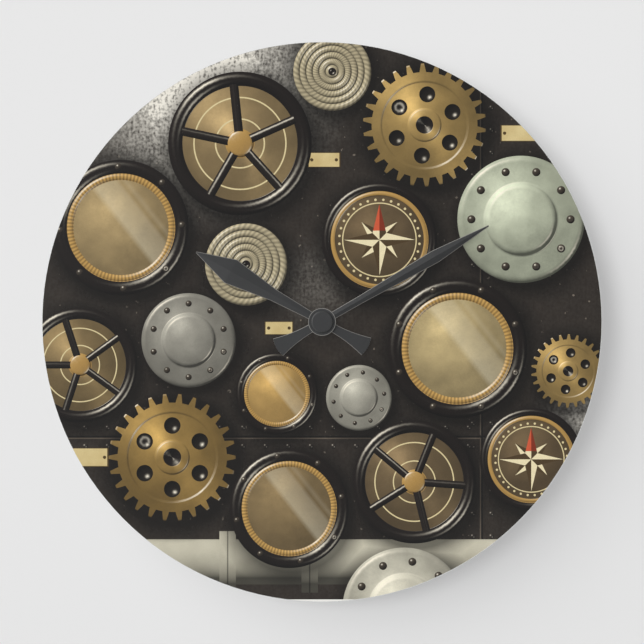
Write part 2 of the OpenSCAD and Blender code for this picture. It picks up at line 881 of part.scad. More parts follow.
module second_wheel() {
    leaves_top = third_z + wheel_t + mesh_over;
    color("ivory")
        upright()
            difference() {
                union() {
                    wheel(second_teeth, second_m, second_phase, second_z);
                    pinion(second_leaves, third_m, 0, second_z + wheel_t - 0.1,
                           leaves_top - second_z - wheel_t + 0.1);
                }
                bar(pin_r + push_gap, second_z - 1, leaves_top + 1);
                web_cut(2.4, 7.8, second_z);
            }
}

// Steel pin of the second wheel, which runs up inside the minute arbor
module second_arbor() {
    color("silver")
        upright()
            bar(pin_r, second_z - end_gap - 0.7, minute_hub_z - 0.6);
}

module fifth_wheel() {
    leaves_top = second_z + wheel_t + mesh_over;
    color("ivory")
        upright()
            translate(fifth_at)
                difference() {
                    union() {
                        wheel(fifth_teeth, fifth_m, fifth_phase, fifth_z);
                        pinion(fifth_leaves, second_m, 0, fifth_z + wheel_t - 0.1,
                               leaves_top - fifth_z - wheel_t + 0.1);
                        bar(arbor_r, fifth_z - end_gap - 0.7, bridge_z + bridge_t);
                    }
                    web_cut(2.4, 6, fifth_z);
                }
}

module rotor_pinion() {
    magnet_top = magnet_z + magnet_h;
    color("ivory")
        upright()
            translate(rotor_at)
                union() {
                    bar(arbor_r, magnet_z - end_gap - 0.7, bridge_z + bridge_t);
                    bar(0.8, magnet_z - 0.1, magnet_top + 0.1);
                    bar(magnet_d / 2 - 0.3, magnet_top, magnet_top + 0.25);
                    pinion(rotor_teeth, fifth_m, 0, magnet_top + 0.15,
                           fifth_z + wheel_t + mesh_over - magnet_top - 0.15);
                }
}

module rotor_magnet() {
    color([0.25, 0.25, 0.27])
        upright()
            translate(rotor_at)
                difference() {
                    bar(magnet_d / 2, magnet_z, magnet_z + magnet_h);
                    bar(0.8 + push_gap, magnet_z - 1, magnet_z + magnet_h + 1);
                }
}

// Iron plate round the rotor: thin necks above and below the hole, and two notches that park the rotor
module stator() {
    half = stator_hole + stator_neck;
    low = [core_x - core_l / 2 - 0.2, rotor_at[1] - half];
    high = [core_x + core_l / 2 + 0.2, rotor_at[1] + half];
    color("silver")
        upright()
            difference() {
                slab(low, high, stator_z, iron_t, 1);
                translate(rotor_at) {
                    bar(stator_hole, stator_z - 1, stator_z + 2);
                    for (a = [135, 315])
                        translate(polar(stator_hole, a))
                            bar(0.4, stator_z - 1, stator_z + 2);
                }
                for (p = stakes)
                    translate(p)
                        bar(stake_r + running_gap, stator_z - 1, stator_z + 2);
            }
}

module coil_core() {
    low = rotor_at[1] - stator_hole - stator_neck + 0.9;
    high = coil_y + core_w / 2;
    color("silver")
        upright()
            difference() {
                block([core_x - core_l / 2, low, core_z], [core_x + core_l / 2, high, core_z + iron_t]);
                block([core_x - core_l / 2 + core_leg, low - 1, core_z - 1],
                      [core_x + core_l / 2 - core_leg, high - core_w, core_z + iron_t + 1]);
                for (p = stakes)
                    translate(p)
                        bar(stake_r + running_gap, core_z - 1, core_z + 2);
            }
}

// Bars along the coil's axis
module along_coil(r, a, b) {
    translate([core_x + a, coil_y, core_z + iron_t / 2])
        rotate([0, 90, 0])
            cylinder(r = r, h = b - a);
}

module coil_bobbin() {
    end = coil_l / 2 + coil_flange_t;
    color([0.85, 0.83, 0.78])
        upright()
            difference() {
                union() {
                    along_coil(coil_sleeve_r, -end, end);
                    along_coil(coil_d / 2, -end, -coil_l / 2);
                    along_coil(coil_d / 2, coil_l / 2, end);
                }
                translate([core_x, coil_y, core_z + iron_t / 2])
                    cube([coil_l * 2, core_w + 0.1, iron_t + 0.1], center = true);
            }
}

module coil_winding() {
    color("peru")
        upright()
            difference() {
                along_coil(coil_d / 2 - 0.2, 0.02 - coil_l / 2, coil_l / 2 - 0.02);
                along_coil(coil_sleeve_r + push_gap, -coil_l, coil_l);
            }
}

module circuit_board() {
    color("darkgreen")
        upright()
            difference() {
                block([board_x[0], board_y[0], board_z], [board_x[1], board_y[1], board_top]);
                for (p = board_pins)
                    translate(p)
                        bar(arbor_r + running_gap, board_z - 1, board_top + 1);
            }
}

// Domed blob of resin over the bare chip
module control_chip() {
    r = 2.3;
    rise = 0.9;
    ball = (r * r + rise * rise) / (2 * rise);
    color([0.1, 0.1, 0.1])
        upright()
            intersection() {
                translate([board_mid, (board_y[0] + board_y[1]) / 2, board_top + rise - ball])
                    sphere(ball);
                block([board_x[0], board_y[0], board_top], [board_x[1], board_y[1], board_top + 2]);
            }
}

module quartz_crystal() {
    can_r = 1;
    can_l = 6;
    color("silver")
        upright()
            translate([board_mid, board_y[1] - 3, board_top + can_r + 0.03])
                rotate([90, 0, 0]) {
                    cylinder(r = can_r, h = can_l);
                    cylinder(r = can_r + 0.02, h = 0.8);
                }
}

module contact_positive() {
    back = strip_off_wall - room_x;
    y = battery_y;
    foot = [board_y[0] + 0.5, board_y[0] + 2.5];
    color("silver")
        upright()
            union() {
                block([back, y - plate_w / 2, plate_z[0]], [back + strip_t, y + plate_w / 2, plate_z[1]]);
                block([back, y, board_top], [back + strip_t, foot[1], board_top + strip_h]);
                block([back, foot[0], board_top], [board_mid - 1.2, foot[1], board_top + strip_t]);
                translate([back + strip_t - e, y, battery_z])
                    rotate([0, 90, 0])
                        cylinder(r1 = 1.8, r2 = 1.2, h = contact_room - strip_t - 0.1);
            }
}

// Plate with a leaf bent out to the cell, and a strip along the bay's wall to the board
module contact_negative() {
    back = room_x - strip_off_wall;
    y = battery_y;
    leaf_w = 6;
    apex = back - strip_t - battery_l / 2;
    leaf = [[0, 4.3], [0, 3.9], [apex - strip_t, 0], [0.3, -3.9], [0.3, -4.2], [0.65, -4.2], [apex, 0]];
    side = board_mid - 0.8;
    below = room_bottom + 0.1;
    color("silver")
        upright()
            union() {
                block([back - strip_t, y - plate_w / 2, plate_z[0]], [back, y + plate_w / 2, plate_z[1]]);
                translate([0, y + leaf_w / 2, 0])
                    rotate([90, 0, 0])
                        linear_extrude(leaf_w)
                            polygon([for (p = leaf) [back - strip_t + 0.05 - p[0], battery_z + p[1]]]);
                block([back - strip_t, y, board_top], [back, below + strip_t, board_top + strip_h]);
                block([side, below, board_top], [back, below + strip_t, board_top + strip_h]);
                block([side, below, board_top], [side + 2, board_y[0] + 1.2, board_top + strip_t]);
            }
}

// Revolves a profile about the cell's axis, with its length counted from the flat end
module along_cell() {
    translate([battery_l / 2, battery_y, battery_z])
        rotate([0, -90, 0])
            rotate_extrude()
                children();
}

module battery_can() {
    r = battery_d / 2 - sleeve_t - push_gap;
    shoulder = battery_l - button_l;
    color("silver")
        upright()
            along_cell()
                polygon([[0, 0], [5, 0], [5, 0.3], [r - 0.4, 0.3], [r, 0.7], [r, shoulder - 1.2],
                         [r - 0.5, shoulder - 0.6], [r - 2, shoulder - 0.5], [r - 2.2, shoulder],
                         [button_r, shoulder], [button_r, battery_l - 0.3], [button_r - 0.3, battery_l],
                         [0, battery_l]]);
}

module battery_sleeve() {
    r = battery_d / 2;
    shoulder = battery_l - button_l;
    color([0.2, 0.3, 0.25])
        upright()
            along_cell()
                polygon([[r - sleeve_t, 0.8], [r - sleeve_t, shoulder - 1.3],
                         [r, shoulder - 1.3], [r, 0.8]]);
}

face_disc();
printed_face();
dial_washer();
hex_nut();
rubber_washer();
hanger_bracket();
movement_rear_housing();
movement_front_cover();
train_bridge();
hour_hand();
minute_hand();
hand_cap_nut();
minute_arbor();
clutch_spring();
centre_wheel();
hour_wheel();
motion_wheel();
setting_knob();
third_wheel();
second_wheel();
second_arbor();
fifth_wheel();
rotor_pinion();
rotor_magnet();
stator();
coil_core();
coil_bobbin();
coil_winding();
circuit_board();
control_chip();
quartz_crystal();
contact_positive();
contact_negative();
battery_can();
battery_sleeve();
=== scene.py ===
import math

import bpy
import numpy as np
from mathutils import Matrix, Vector

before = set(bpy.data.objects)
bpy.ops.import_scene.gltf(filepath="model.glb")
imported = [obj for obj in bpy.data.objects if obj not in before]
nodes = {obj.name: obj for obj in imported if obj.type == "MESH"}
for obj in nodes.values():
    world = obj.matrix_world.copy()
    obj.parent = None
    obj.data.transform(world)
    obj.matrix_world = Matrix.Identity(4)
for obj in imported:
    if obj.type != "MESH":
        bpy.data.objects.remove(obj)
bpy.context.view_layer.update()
print("frame loaded:", len(nodes), "nodes")


def hexColour(text, alpha=1.0):
    # sRGB hex to linear: c / 12.92 below 0.04045, else ((c + 0.055) / 1.055) to the power 2.4
    parts = [int(text[i:i + 2], 16) / 255 for i in (1, 3, 5)]
    return [c / 12.92 if c <= 0.04045 else ((c + 0.055) / 1.055) ** 2.4 for c in parts] + [alpha]


def rampColour(value):
    # a word is an sRGB colour, a number a linear grey, and a list is taken as it is
    if isinstance(value, str):
        return hexColour(value)
    return value if isinstance(value, list) else [value] * 3 + [1]


def addNode(tree, kind, settings=None, inputs=None):
    # one node: its settings by name, then every input as a plain value or as the output that feeds it;
    # a ramp is even between its colours, and steps hold each colour up to the next one
    node = tree.nodes.new("ShaderNode" + kind)
    for name, value in (settings or {}).items():
        if name in ("ramp", "steps"):
            node.color_ramp.interpolation = "LINEAR" if name == "ramp" else "CONSTANT"
            while len(node.color_ramp.elements) < len(value):
                node.color_ramp.elements.new(0.5)
            for element, (place, colour) in zip(node.color_ramp.elements, value):
                element.position = place
                element.color = rampColour(colour)
        else:
            setattr(node, name, value)
    for place, value in (inputs or {}).items():
        if isinstance(value, bpy.types.NodeSocket):
            tree.links.new(value, node.inputs[place])
        else:
            node.inputs[place].default_value = value
    return node


# Operations that aren't plain Math: their kind of node, where their inputs lie and which output they give
operations = {
    "FLOAT": ("Mix", (0, 2, 3), 0), "VECTOR": ("Mix", (0, 4, 5), 1), "RGBA": ("Mix", (0, 6, 7), 2),
    "SCALE": ("VectorMath", (0, 3), 0), "DOT_PRODUCT": ("VectorMath", (0, 1), 1),
    "DISTANCE": ("VectorMath", (0, 1), 1), "LENGTH": ("VectorMath", (0,), 1),
}


def addRows(tree, made, rows):
    # rows of (name, operation, inputs...) or of (name, kind of node, operation or settings, inputs...); an
    # input's word stands for what made holds by that name, a pair of a word and a number for another output
    # of that row, and a word with # for a colour. A row may build on an earlier one and take over its name
    for name, kind, *feeds in rows:
        if kind.isupper():
            how = kind
            kind, places, output = operations.get(how, ("Math", range(len(feeds)), 0))
        else:
            how = feeds.pop(0)
            places, output = range(len(feeds)), 0
        inputs = {}
        for place, feed in zip(places, feeds):
            if isinstance(feed, tuple) and isinstance(feed[0], str):
                feed = made[feed[0]].node.outputs[feed[1]]
            elif isinstance(feed, str):
                feed = hexColour(feed) if feed[0] == "#" else made[feed]
            inputs[place] = feed
        settings = {"data_type" if kind == "Mix" else "operation": how} if isinstance(how, str) else how
        made[name] = addNode(tree, kind, settings, inputs).outputs[output]


def newMaterial(name, values):
    # a Principled material; values are the shader's own sockets, and a word is a colour
    material = bpy.data.materials.new(name)
    material.use_nodes = True
    shader = material.node_tree.nodes["Principled BSDF"]
    for socket, value in values.items():
        shader.inputs[socket].default_value = hexColour(value) if isinstance(value, str) else value
    return material, material.node_tree, shader


def giveMaterial(material, names):
    for name in names:
        nodes[name].data.materials.clear()
        nodes[name].data.materials.append(material)


def addPlace(tree):
    # object coordinates, their parts x, y and z in millimetres, and the place on the clock's front as x and z
    made = {"object": addNode(tree, "TexCoord").outputs["Object"]}
    addRows(tree, made, [
        ("mm", "VectorMath", "MULTIPLY", "object", (1000, 1000, 1000)),
        ("mmParts", "SeparateXYZ", None, "mm"),
    ])
    made["x"], made["y"], made["z"] = made["mmParts"].node.outputs
    addRows(tree, made, [("p", "CombineXYZ", None, "x", "z", 0)])
    return made


def addFacing(tree, made):
    # how squarely a surface faces the front or the back: 1 on a flat face and 0 on a rim
    made["normal"] = addNode(tree, "NewGeometry").outputs["True Normal"]
    addRows(tree, made, [
        ("normalParts", "SeparateXYZ", None, "normal"),
        ("facing", "ABSOLUTE", ("normalParts", 1)),
    ])


def joinSurface(tree, shader, made, depth):
    # a surface's tone, and its height as a bump that is depth mm deep
    bump = addNode(tree, "Bump", {}, {"Strength": 1.0, "Distance": depth / 1000, "Height": made["height"]})
    tree.links.new(bump.outputs["Normal"], shader.inputs["Normal"])
    tree.links.new(made["tone"], shader.inputs["Base Color"])


# The printed picture: generic engine room fittings on a black painted bulkhead, all from formulas
picture = {
    # kind, place from the arbor and outer radius in mm, face colour and turn in degrees, kind by kind in the
    # order that relief has below
    "fittings": [
        ("porthole", -98, 46, 33, "#9c875f", 20),
        ("porthole", 66, -13, 34, "#a8966c", 0),
        ("porthole", -16, -91, 29, "#7d6a49", 10),
        ("porthole", -22, -35, 20, "#b08f55", 40),
        ("handwheel", -40, 87, 35, "#8f7a55", 12),
        ("handwheel", 45, -78, 30, "#6b5a40", 40),
        ("handwheel", -118, -21, 28, "#7d6a48", 0),
        ("cogwheel", 50, 96, 30, "#a08550", 5),
        ("cogwheel", -73, -66, 31, "#937742", 0),
        ("cogwheel", 120, -24, 18, "#a08550", 8),
        ("cover", 97, 50, 31, "#b4b9a2", 18),
        ("cover", -65, -9, 23, "#8f8c81", 0),
        ("cover", 18, -37, 16, "#a09d90", 9),
        ("cover", 40, -140, 30, "#b9b5a4", 10),
        ("rose", 28, 40, 28, "#5f4f38", 0),
        ("rose", 102, -67, 25, "#5f4f38", 0),
        ("coil", -37, 28, 20, "#b3a788", 0),
        ("coil", 5, 122, 19, "#b3a788", 0),
    ],
    # the shadow that each fitting throws: where it lies, how far it reaches and how dark it is
    "shadow": {"x": 1.6, "z": -2.2, "reach": 9, "level": 0.25},
    # blank brass plates: middle, half width and half height in mm
    "plates": [(-114, -66, 10, 4.6), (96, 92, 9, 4), (1, 79, 8, 3.6), (-21, -3, 7, 3.2)],
    "plateRim": 0.93, "screwIn": 2, "screwRadius": 0.8,
    # the upright seam's x and the level one's z, and the pale lip along one side of both
    "seams": {"x": 78, "z": -56, "half": 0.45, "lip": -0.75, "lipHalf": 0.3},
    "rivets": {"spacing": 11, "off": 4.5, "radius": 1.4, "lean": 0.92, "shine": 0.7},
    "pipe": {"z": -117, "radius": 11, "flangeRadius": 15, "flangeHalf": 4, "flanges": (-46, -6),
             "jointHalf": 0.35, "jointDark": 0.6, "darkest": 0.1},
    # the lamps' glare on the paint: where it is brightest, how far it reaches and how strong it is
    "glares": [(-62, 122, 80, 1.0), (132, -50, 34, 0.42), (-4, 18, 40, 0.06)],
    # patches in the paint: size in mm and detail
    "patches": {"brush": (11.111, 6), "peel": (1.2821, 3), "grain": (0.38462, 1), "chips": (2.9412, 3)},
    "scratch": (1.1111, 5.8824),     # width and length in mm
    "chipsAbove": 0.70,
    # how much the peel sparkles in the glare, the least and the most of that, and the strongest glare
    "sparkle": 0.6, "sparkleLimits": (0.25, 1.7), "glareLimit": 0.96,
    "whiteBelow": -135.3,            # the picture ends here, and the film's white base shows under it
}
inks = {
    "ground": "#1b1613", "groundWorn": "#2e2721", "chip": "#6f665b", "groundGlare": "#f1ece0",
    "seam": "#070505", "seamLip": "#5c5247", "rivetShine": "#f2e8d6", "line": "#d9c99a",
    "spoke": "#1b1613", "bolt": "#3a332b", "hole": "#17130f", "shine": "#fff6e2", "glassGlare": "#f3ecd2",
    "starDark": "#4a3a24", "starLight": "#e9dcb4", "redDark": "#7c2f1c", "redLight": "#c9583a",
    "pipe": "#a9a491", "pipePale": "#cfcab6", "plate": "#a98d52", "platePale": "#e6d6a2",
    "plateRim": "#4a3a20", "filmBase": "#ecebe6",
}


def unit(vector):
    return np.array(vector) / np.linalg.norm(vector)


def sideOf(vector):
    # the vector's direction as seen from the front
    return (*unit(vector[:2]), 0)


# The two lamps of the drawn relief, its brightness in full light and in shade, the powers of its gloss,
# the second lamp's share of that, and the lean below which a slope shows none
drawn = {"lamp": (-0.50, 0.62, 0.60), "secondLamp": (0.62, -0.48, 0.62), "full": 1.25, "shade": 0.22,
         "gloss": 60, "secondGloss": 90, "secondShare": 0.45, "leastLean": 0.08}
lamp, secondLamp = unit(drawn["lamp"]), unit(drawn["secondLamp"])
halfway, secondHalfway = unit(lamp + (0, 0, 1)), unit(secondLamp + (0, 0, 1))
sideways, secondSideways = sideOf(lamp), sideOf(secondLamp)


def cosineRows(name, place, far, side):
    # cosine of the angle between a lamp's side and the direction of a place whose length is `far`
    return [
        (f"{name}Towards", "DOT_PRODUCT", place, side),
        (name, "DIVIDE", f"{name}Towards", far),
    ]


def riseRows(tag, lean):
    # how much a slope faces the eye: the square root of 1 - lean * lean, and 0 for a lean past upright
    return [
        (f"{tag}Square", "MULTIPLY", lean, lean),
        (f"{tag}Rest", "SUBTRACT", 1, f"{tag}Square"),
        (f"{tag}Rise", "SQRT", f"{tag}Rest"),
    ]


def litRows(tag, lean, lit, secondLit):
    # a slope that leans by `lean` (0 level, 1 upright) in a direction with cosine `lit` to the lamp: diffuse
    # light is the dot product of normal and lamp, and gloss a power of the one with the halfway vector
    rows = riseRows(tag, lean)
    for name, cosine, vector in ((f"{tag}Diffuse", lit, lamp), (f"{tag}Mirror", lit, halfway),
                                 (f"{tag}Second", secondLit, secondHalfway)):
        rows += [
            (f"{name}Lean", "MULTIPLY", lean, cosine),
            (f"{name}Side", "MULTIPLY", f"{name}Lean", math.hypot(*vector[:2])),
            (f"{name}Front", "MULTIPLY_ADD", f"{tag}Rise", vector[2], f"{name}Side"),
            (name, "MAXIMUM", f"{name}Front", 0),
        ]
    return rows + [
        (f"{tag}Level", "MULTIPLY_ADD", f"{tag}Diffuse", drawn["full"], drawn["shade"]),
        (f"{tag}GlossFirst", "POWER", f"{tag}Mirror", drawn["gloss"]),
        (f"{tag}GlossSecond", "POWER", f"{tag}Second", drawn["secondGloss"]),
        (f"{tag}GlossLess", "MULTIPLY", f"{tag}GlossSecond", drawn["secondShare"]),
        (f"{tag}GlossBoth", "MAXIMUM", f"{tag}GlossFirst", f"{tag}GlossLess"),
        (f"{tag}LeanSize", "ABSOLUTE", lean),
        (f"{tag}Sloped", "GREATER_THAN", f"{tag}LeanSize", drawn["leastLean"]),
        (f"{tag}Gloss", "MULTIPLY", f"{tag}GlossBoth", f"{tag}Sloped"),
    ]


def cellRows(tag, place, size):
    # a line or a circle in equal cells of this size: how far a place lies off the middle of its cell
    return [
        (f"{tag}Past", "FLOORED_MODULO", place, size),
        (f"{tag}Off", "MULTIPLY_ADD", size, -0.5, f"{tag}Past"),
    ]


def rayRows(tag, angle, many):
    # distance to one side of the nearest of `many` rays: the sine of the angle off it, times r
    return cellRows(tag, angle, math.tau / many) + [
        (f"{tag}Sine", "SINE", f"{tag}Off"),
        (f"{tag}Side", "MULTIPLY", f"{tag}Sine", "r"),
    ]


# Gloss-coated film printed by inkjet: flat and smooth, so the picture's light and shade are all in the ink
printedFilm, tree, shader = newMaterial("printedFilm", {"Roughness": 0.16, "IOR": 1.42})
made = addPlace(tree)
# what the rows that build on themselves start from: no fitting, a far edge, no glare and no flange or joint
made.update({"local": (9, 9, 0), "near": 40, "glare": 0, "flange": 0, "joint": 0})
rows = [(name, "TexNoise", None, "object", 0, 1000 / size, detail)
        for name, (size, detail) in picture["patches"].items()]
scratchWide, scratchLong = picture["scratch"]
rows += [
    ("scratchPlace", "VectorMath", "MULTIPLY", "object", (1000 / scratchWide, 1, 1000 / scratchLong)),
    ("scratches", "TexNoise", None, "scratchPlace", 0, 1, 3),
]
shadow = picture["shadow"]
for number, (cx, cz, radius) in enumerate([row[1:4] for row in picture["fittings"]], 1):
    # each fitting in turn claims the points inside its circle: their place becomes (x, z) in its radii
    # and its number, and near is the distance to the nearest edge of all the shadows so far
    perRadius, middle = (1 / radius, 1 / radius, 0), (-cx / radius, -cz / radius, number)
    rows += [
        ("place", "VectorMath", "MULTIPLY_ADD", "p", perRadius, middle),
        ("square", "DOT_PRODUCT", "place", "place"),
        ("inside", "LESS_THAN", "square", 1 + number * number),
        ("local", "VECTOR", "inside", "local", "place"),
        ("away", "DISTANCE", "p", (cx + shadow["x"], cz + shadow["z"], 0)),
        ("edge", "SUBTRACT", "away", radius),
        ("near", "MINIMUM", "near", "edge"),
    ]
addRows(tree, made, rows + [("localParts", "SeparateXYZ", None, "local")])
made["u"], made["v"], made["number"] = made["localParts"].node.outputs
rows = [
    ("uv", "CombineXYZ", None, "u", "v", 0),
    ("r", "LENGTH", "uv"),
    ("angle", "ARCTAN2", "v", "u"),
    *cosineRows("lit", "uv", "r", sideways),
    *cosineRows("secondLit", "uv", "r", secondSideways),
]

# Every kind's relief as the radial slope (0.5 is level, 1 leans outwards), its colours, with its face at
# alpha 1, and its bolts or holes: how many, at what radius and how large (3 radii out for none)
black, brass, face = hexColour("#16110f", 0), hexColour("#a8854a", 0), [1, 1, 1, 1]
relief = {
    "porthole": [(0, 0.5), (0.70, 0.5), (0.71, 0.2), (0.75, 0.5), (0.79, 0.8), (0.80, 0.12), (0.87, 0.42),
                 (0.93, 0.6), (1, 0.97)],
    "handwheel": [(0, 0.5), (0.14, 0.6), (0.19, 0.9), (0.20, 0.5), (0.80, 0.5), (0.81, 0.05), (0.905, 0.5),
                  (1, 0.97)],
    "cogwheel": [(0, 0.2), (0.14, 0.2), (0.15, 0.5), (0.24, 0.6), (0.27, 0.9), (0.28, 0.5), (0.68, 0.5),
                 (0.70, 0.2), (0.73, 0.5), (0.97, 0.55), (1, 0.8)],
    "cover": [(0, 0.5), (0.48, 0.55), (0.56, 0.95), (0.60, 0.5), (0.90, 0.5), (0.97, 0.8), (1, 0.97)],
    "rose": [(0, 0.5), (0.76, 0.5), (0.77, 0.15), (0.80, 0.5), (0.84, 0.8), (0.85, 0.15), (0.92, 0.5),
             (1, 0.97)],
    "coil": [(0, 0.5), (1, 0.5)],
}
colours = {
    "porthole": [(0, face), (0.70, brass), (0.80, black)],
    "handwheel": [(0, brass), (0.20, face), (0.80, black)],
    "cogwheel": [(0, black), (0.14, face), (0.99, face)],
    "cover": [(0, face), (0.99, face)],
    "rose": [(0, face), (0.77, brass), (0.85, black)],
    "coil": [(0, black), (0.10, face), (0.99, face)],
}
rounds = {"porthole": (8, 0.90, 0.05), "handwheel": (5, 3, 0.1), "cogwheel": (6, 0.50, 0.13),
          "cover": (10, 0.78, 0.065), "rose": (4, 3, 0.1), "coil": (4, 3, 0.1)}
made.update({"slope": 0.5, "cloth": hexColour("#000000"), "mask": 0, "rounds": (4, 3, 0.1)})
first = 1
for kind in relief:
    rows += [
        # 1 on fittings of this kind and of every kind after it
        (f"{kind}On", "GREATER_THAN", "number", first - 0.5),
        ("ownSlope", "ValToRGB", {"ramp": relief[kind]}, "r"),
        ("slope", "FLOAT", f"{kind}On", "slope", "ownSlope"),
        ("ownColour", "ValToRGB", {"steps": colours[kind]}, "r"),
        ("cloth", "RGBA", f"{kind}On", "cloth", "ownColour"),
        ("mask", "FLOAT", f"{kind}On", "mask", ("ownColour", 1)),
        ("rounds", "VECTOR", f"{kind}On", "rounds", rounds[kind]),
    ]
    first += sum(row[0] == kind for row in picture["fittings"])

# What the faces hold: how many go round, and sizes in the fitting's own radii
motifs = {
    "spokes": {"many": 5, "half": 0.062, "at": 0.50, "reach": 0.33},
    "teeth": {"many": 26, "tip": 1.09, "slant": 0.9, "root": 0.86},
    "glass": 0.70,
    "knurls": {"many": 90, "at": 0.75, "half": 0.05, "depth": 0.34},
    "dots": {"many": 32, "at": 0.70, "radius": 0.022},
    "rings": {"outer": 0.64, "inner": 0.34, "half": 0.010},
    "points": [("long", 45, 0.24, 0.62), ("short", 0, 0.36, 0.44)],    # turn in degrees, taper and reach
    "redAbove": 0.16,
    "rope": {"turns": 6, "strands": 44, "slant": 5, "groove": 0.22},
    "boltLean": 0.9,
}
spokes, teeth, knurls, dots = [motifs[name] for name in ("spokes", "teeth", "knurls", "dots")]
rings, rope = motifs["rings"], motifs["rope"]
# gains of the rows: what a row is multiplied by, and what is then added
gains = {"waver": (0.22, -0.11), "faceLevel": (1.5, 0.18), "fanDim": (-0.18, 1), "grime": (0.9, 0.55),
         "slant": (0.5, 0.42), "glossPatch": (1.5, 0.05), "peel": (6, -2.5), "scratch": (1.8, -0.45),
         "pipe": (1.1, 0.12), "grain": (0.36, 0.82), "patch": (2.2, -0.6)}
# ramps of 32 steps hold each fitting's face colour and its turn in radians
slots = 32
faceSteps = [((i - 0.5) / slots, row[4]) for i, row in enumerate(picture["fittings"], 1)]
turnSteps = [((i - 0.5) / slots, math.radians(row[5])) for i, row in enumerate(picture["fittings"], 1)]
rows += [
    ("share", "DIVIDE", "number", slots),
    ("faceColour", "ValToRGB", {"steps": faceSteps}, "share"),
    ("turn", "ValToRGB", {"steps": turnSteps}, "share"),
    ("turned", "ADD", "angle", "turn"),
    # bolts: the nearest one's middle, and the place in its own radii
    ("roundParts", "SeparateXYZ", None, "rounds"),
    ("boltStep", "DIVIDE", math.tau, "roundParts"),
    *cellRows("bolt", "turned", "boltStep"),
    ("boltAngle", "SUBTRACT", "angle", "boltOff"),
    ("boltCosine", "COSINE", "boltAngle"),
    ("boltSine", "SINE", "boltAngle"),
    ("boltWay", "CombineXYZ", None, "boltCosine", "boltSine", 0),
    ("boltAt", "SCALE", "boltWay", ("roundParts", 1)),
    ("fromBolt", "VectorMath", "SUBTRACT", "uv", "boltAt"),
    ("boltFar", "LENGTH", "fromBolt"),
    ("boltR", "DIVIDE", "boltFar", ("roundParts", 2)),
    ("isRound", "LESS_THAN", "boltR", 1),
    *cosineRows("boltLit", "fromBolt", "boltFar", sideways),
    ("glassOnly", "SUBTRACT", "portholeOn", "handwheelOn"),
    ("wheelOnly", "SUBTRACT", "handwheelOn", "cogwheelOn"),
    ("cogOnly", "SUBTRACT", "cogwheelOn", "coverOn"),
    ("roseOnly", "SUBTRACT", "roseOn", "coilOn"),
    # spokes of a handwheel: distance from the middle of the nearest one
    *rayRows("spoke", "turned", spokes["many"]),
    ("spokeAcross", "DIVIDE", "spokeSide", spokes["half"]),
    ("onSpoke", "COMPARE", "spokeAcross", 0, 1),
    ("spokeIn", "COMPARE", "r", spokes["at"], spokes["reach"]),
    ("spokeSpan", "MULTIPLY", "spokeIn", "wheelOnly"),
    ("isSpoke", "MULTIPLY", "spokeSpan", "onSpoke"),
    ("tangentX", "MULTIPLY", "v", -1),
    ("tangent", "CombineXYZ", None, "tangentX", "u", 0),
    *cosineRows("spokeLit", "tangent", "r", sideways),
    # teeth of a cogwheel: the gaps between them show the ground
    ("toothTurn", "MULTIPLY", "turned", teeth["many"] / math.tau),
    ("toothWave", "PINGPONG", "toothTurn", 0.5),
    ("toothSlant", "MULTIPLY", "toothWave", teeth["slant"]),
    ("toothEdge", "SUBTRACT", teeth["tip"], "toothSlant"),
    ("toothFloor", "MAXIMUM", "toothEdge", teeth["root"]),
    ("inGap", "GREATER_THAN", "r", "toothFloor"),
    ("isGap", "MULTIPLY", "inGap", "cogOnly"),
    # fine knurling on a porthole's clamp ring, outside its glass
    ("knurlTurn", "MULTIPLY", "angle", knurls["many"]),
    ("knurlWave", "SINE", "knurlTurn"),
    ("glassIn", "LESS_THAN", "r", motifs["glass"]),
    ("isGlass", "MULTIPLY", "glassOnly", "glassIn"),
    ("knurlIn", "COMPARE", "r", knurls["at"], knurls["half"]),
    ("isKnurl", "MULTIPLY", "glassOnly", "knurlIn"),
    ("knurlSize", "MULTIPLY", "isKnurl", knurls["depth"]),
    ("knurl", "MULTIPLY_ADD", "knurlWave", "knurlSize", 1),
    # a ring of cream dots on a rose
    *cellRows("dot", "angle", math.tau / dots["many"]),
    ("dotX", "MULTIPLY", "dotOff", dots["at"]),
    ("dotZ", "SUBTRACT", "r", dots["at"]),
    ("dotAt", "CombineXYZ", None, "dotX", "dotZ", 0),
    ("dotFar", "LENGTH", "dotAt"),
    ("inDot", "LESS_THAN", "dotFar", dots["radius"]),
    # cream rings: one on a rose inside its dots, and two on the plate behind a handwheel
    ("ringFirst", "COMPARE", "r", rings["outer"], rings["half"]),
    ("ringSecond", "COMPARE", "r", rings["inner"], rings["half"]),
    ("ringBoth", "MAXIMUM", "ringFirst", "ringSecond"),
    ("ringOnWheel", "MULTIPLY", "ringBoth", "wheelOnly"),
    ("ringOnRose", "MAXIMUM", "ringFirst", "inDot"),
    ("roseLine", "MULTIPLY", "ringOnRose", "roseOnly"),
    ("isLine", "MAXIMUM", "ringOnWheel", "roseLine"),
]
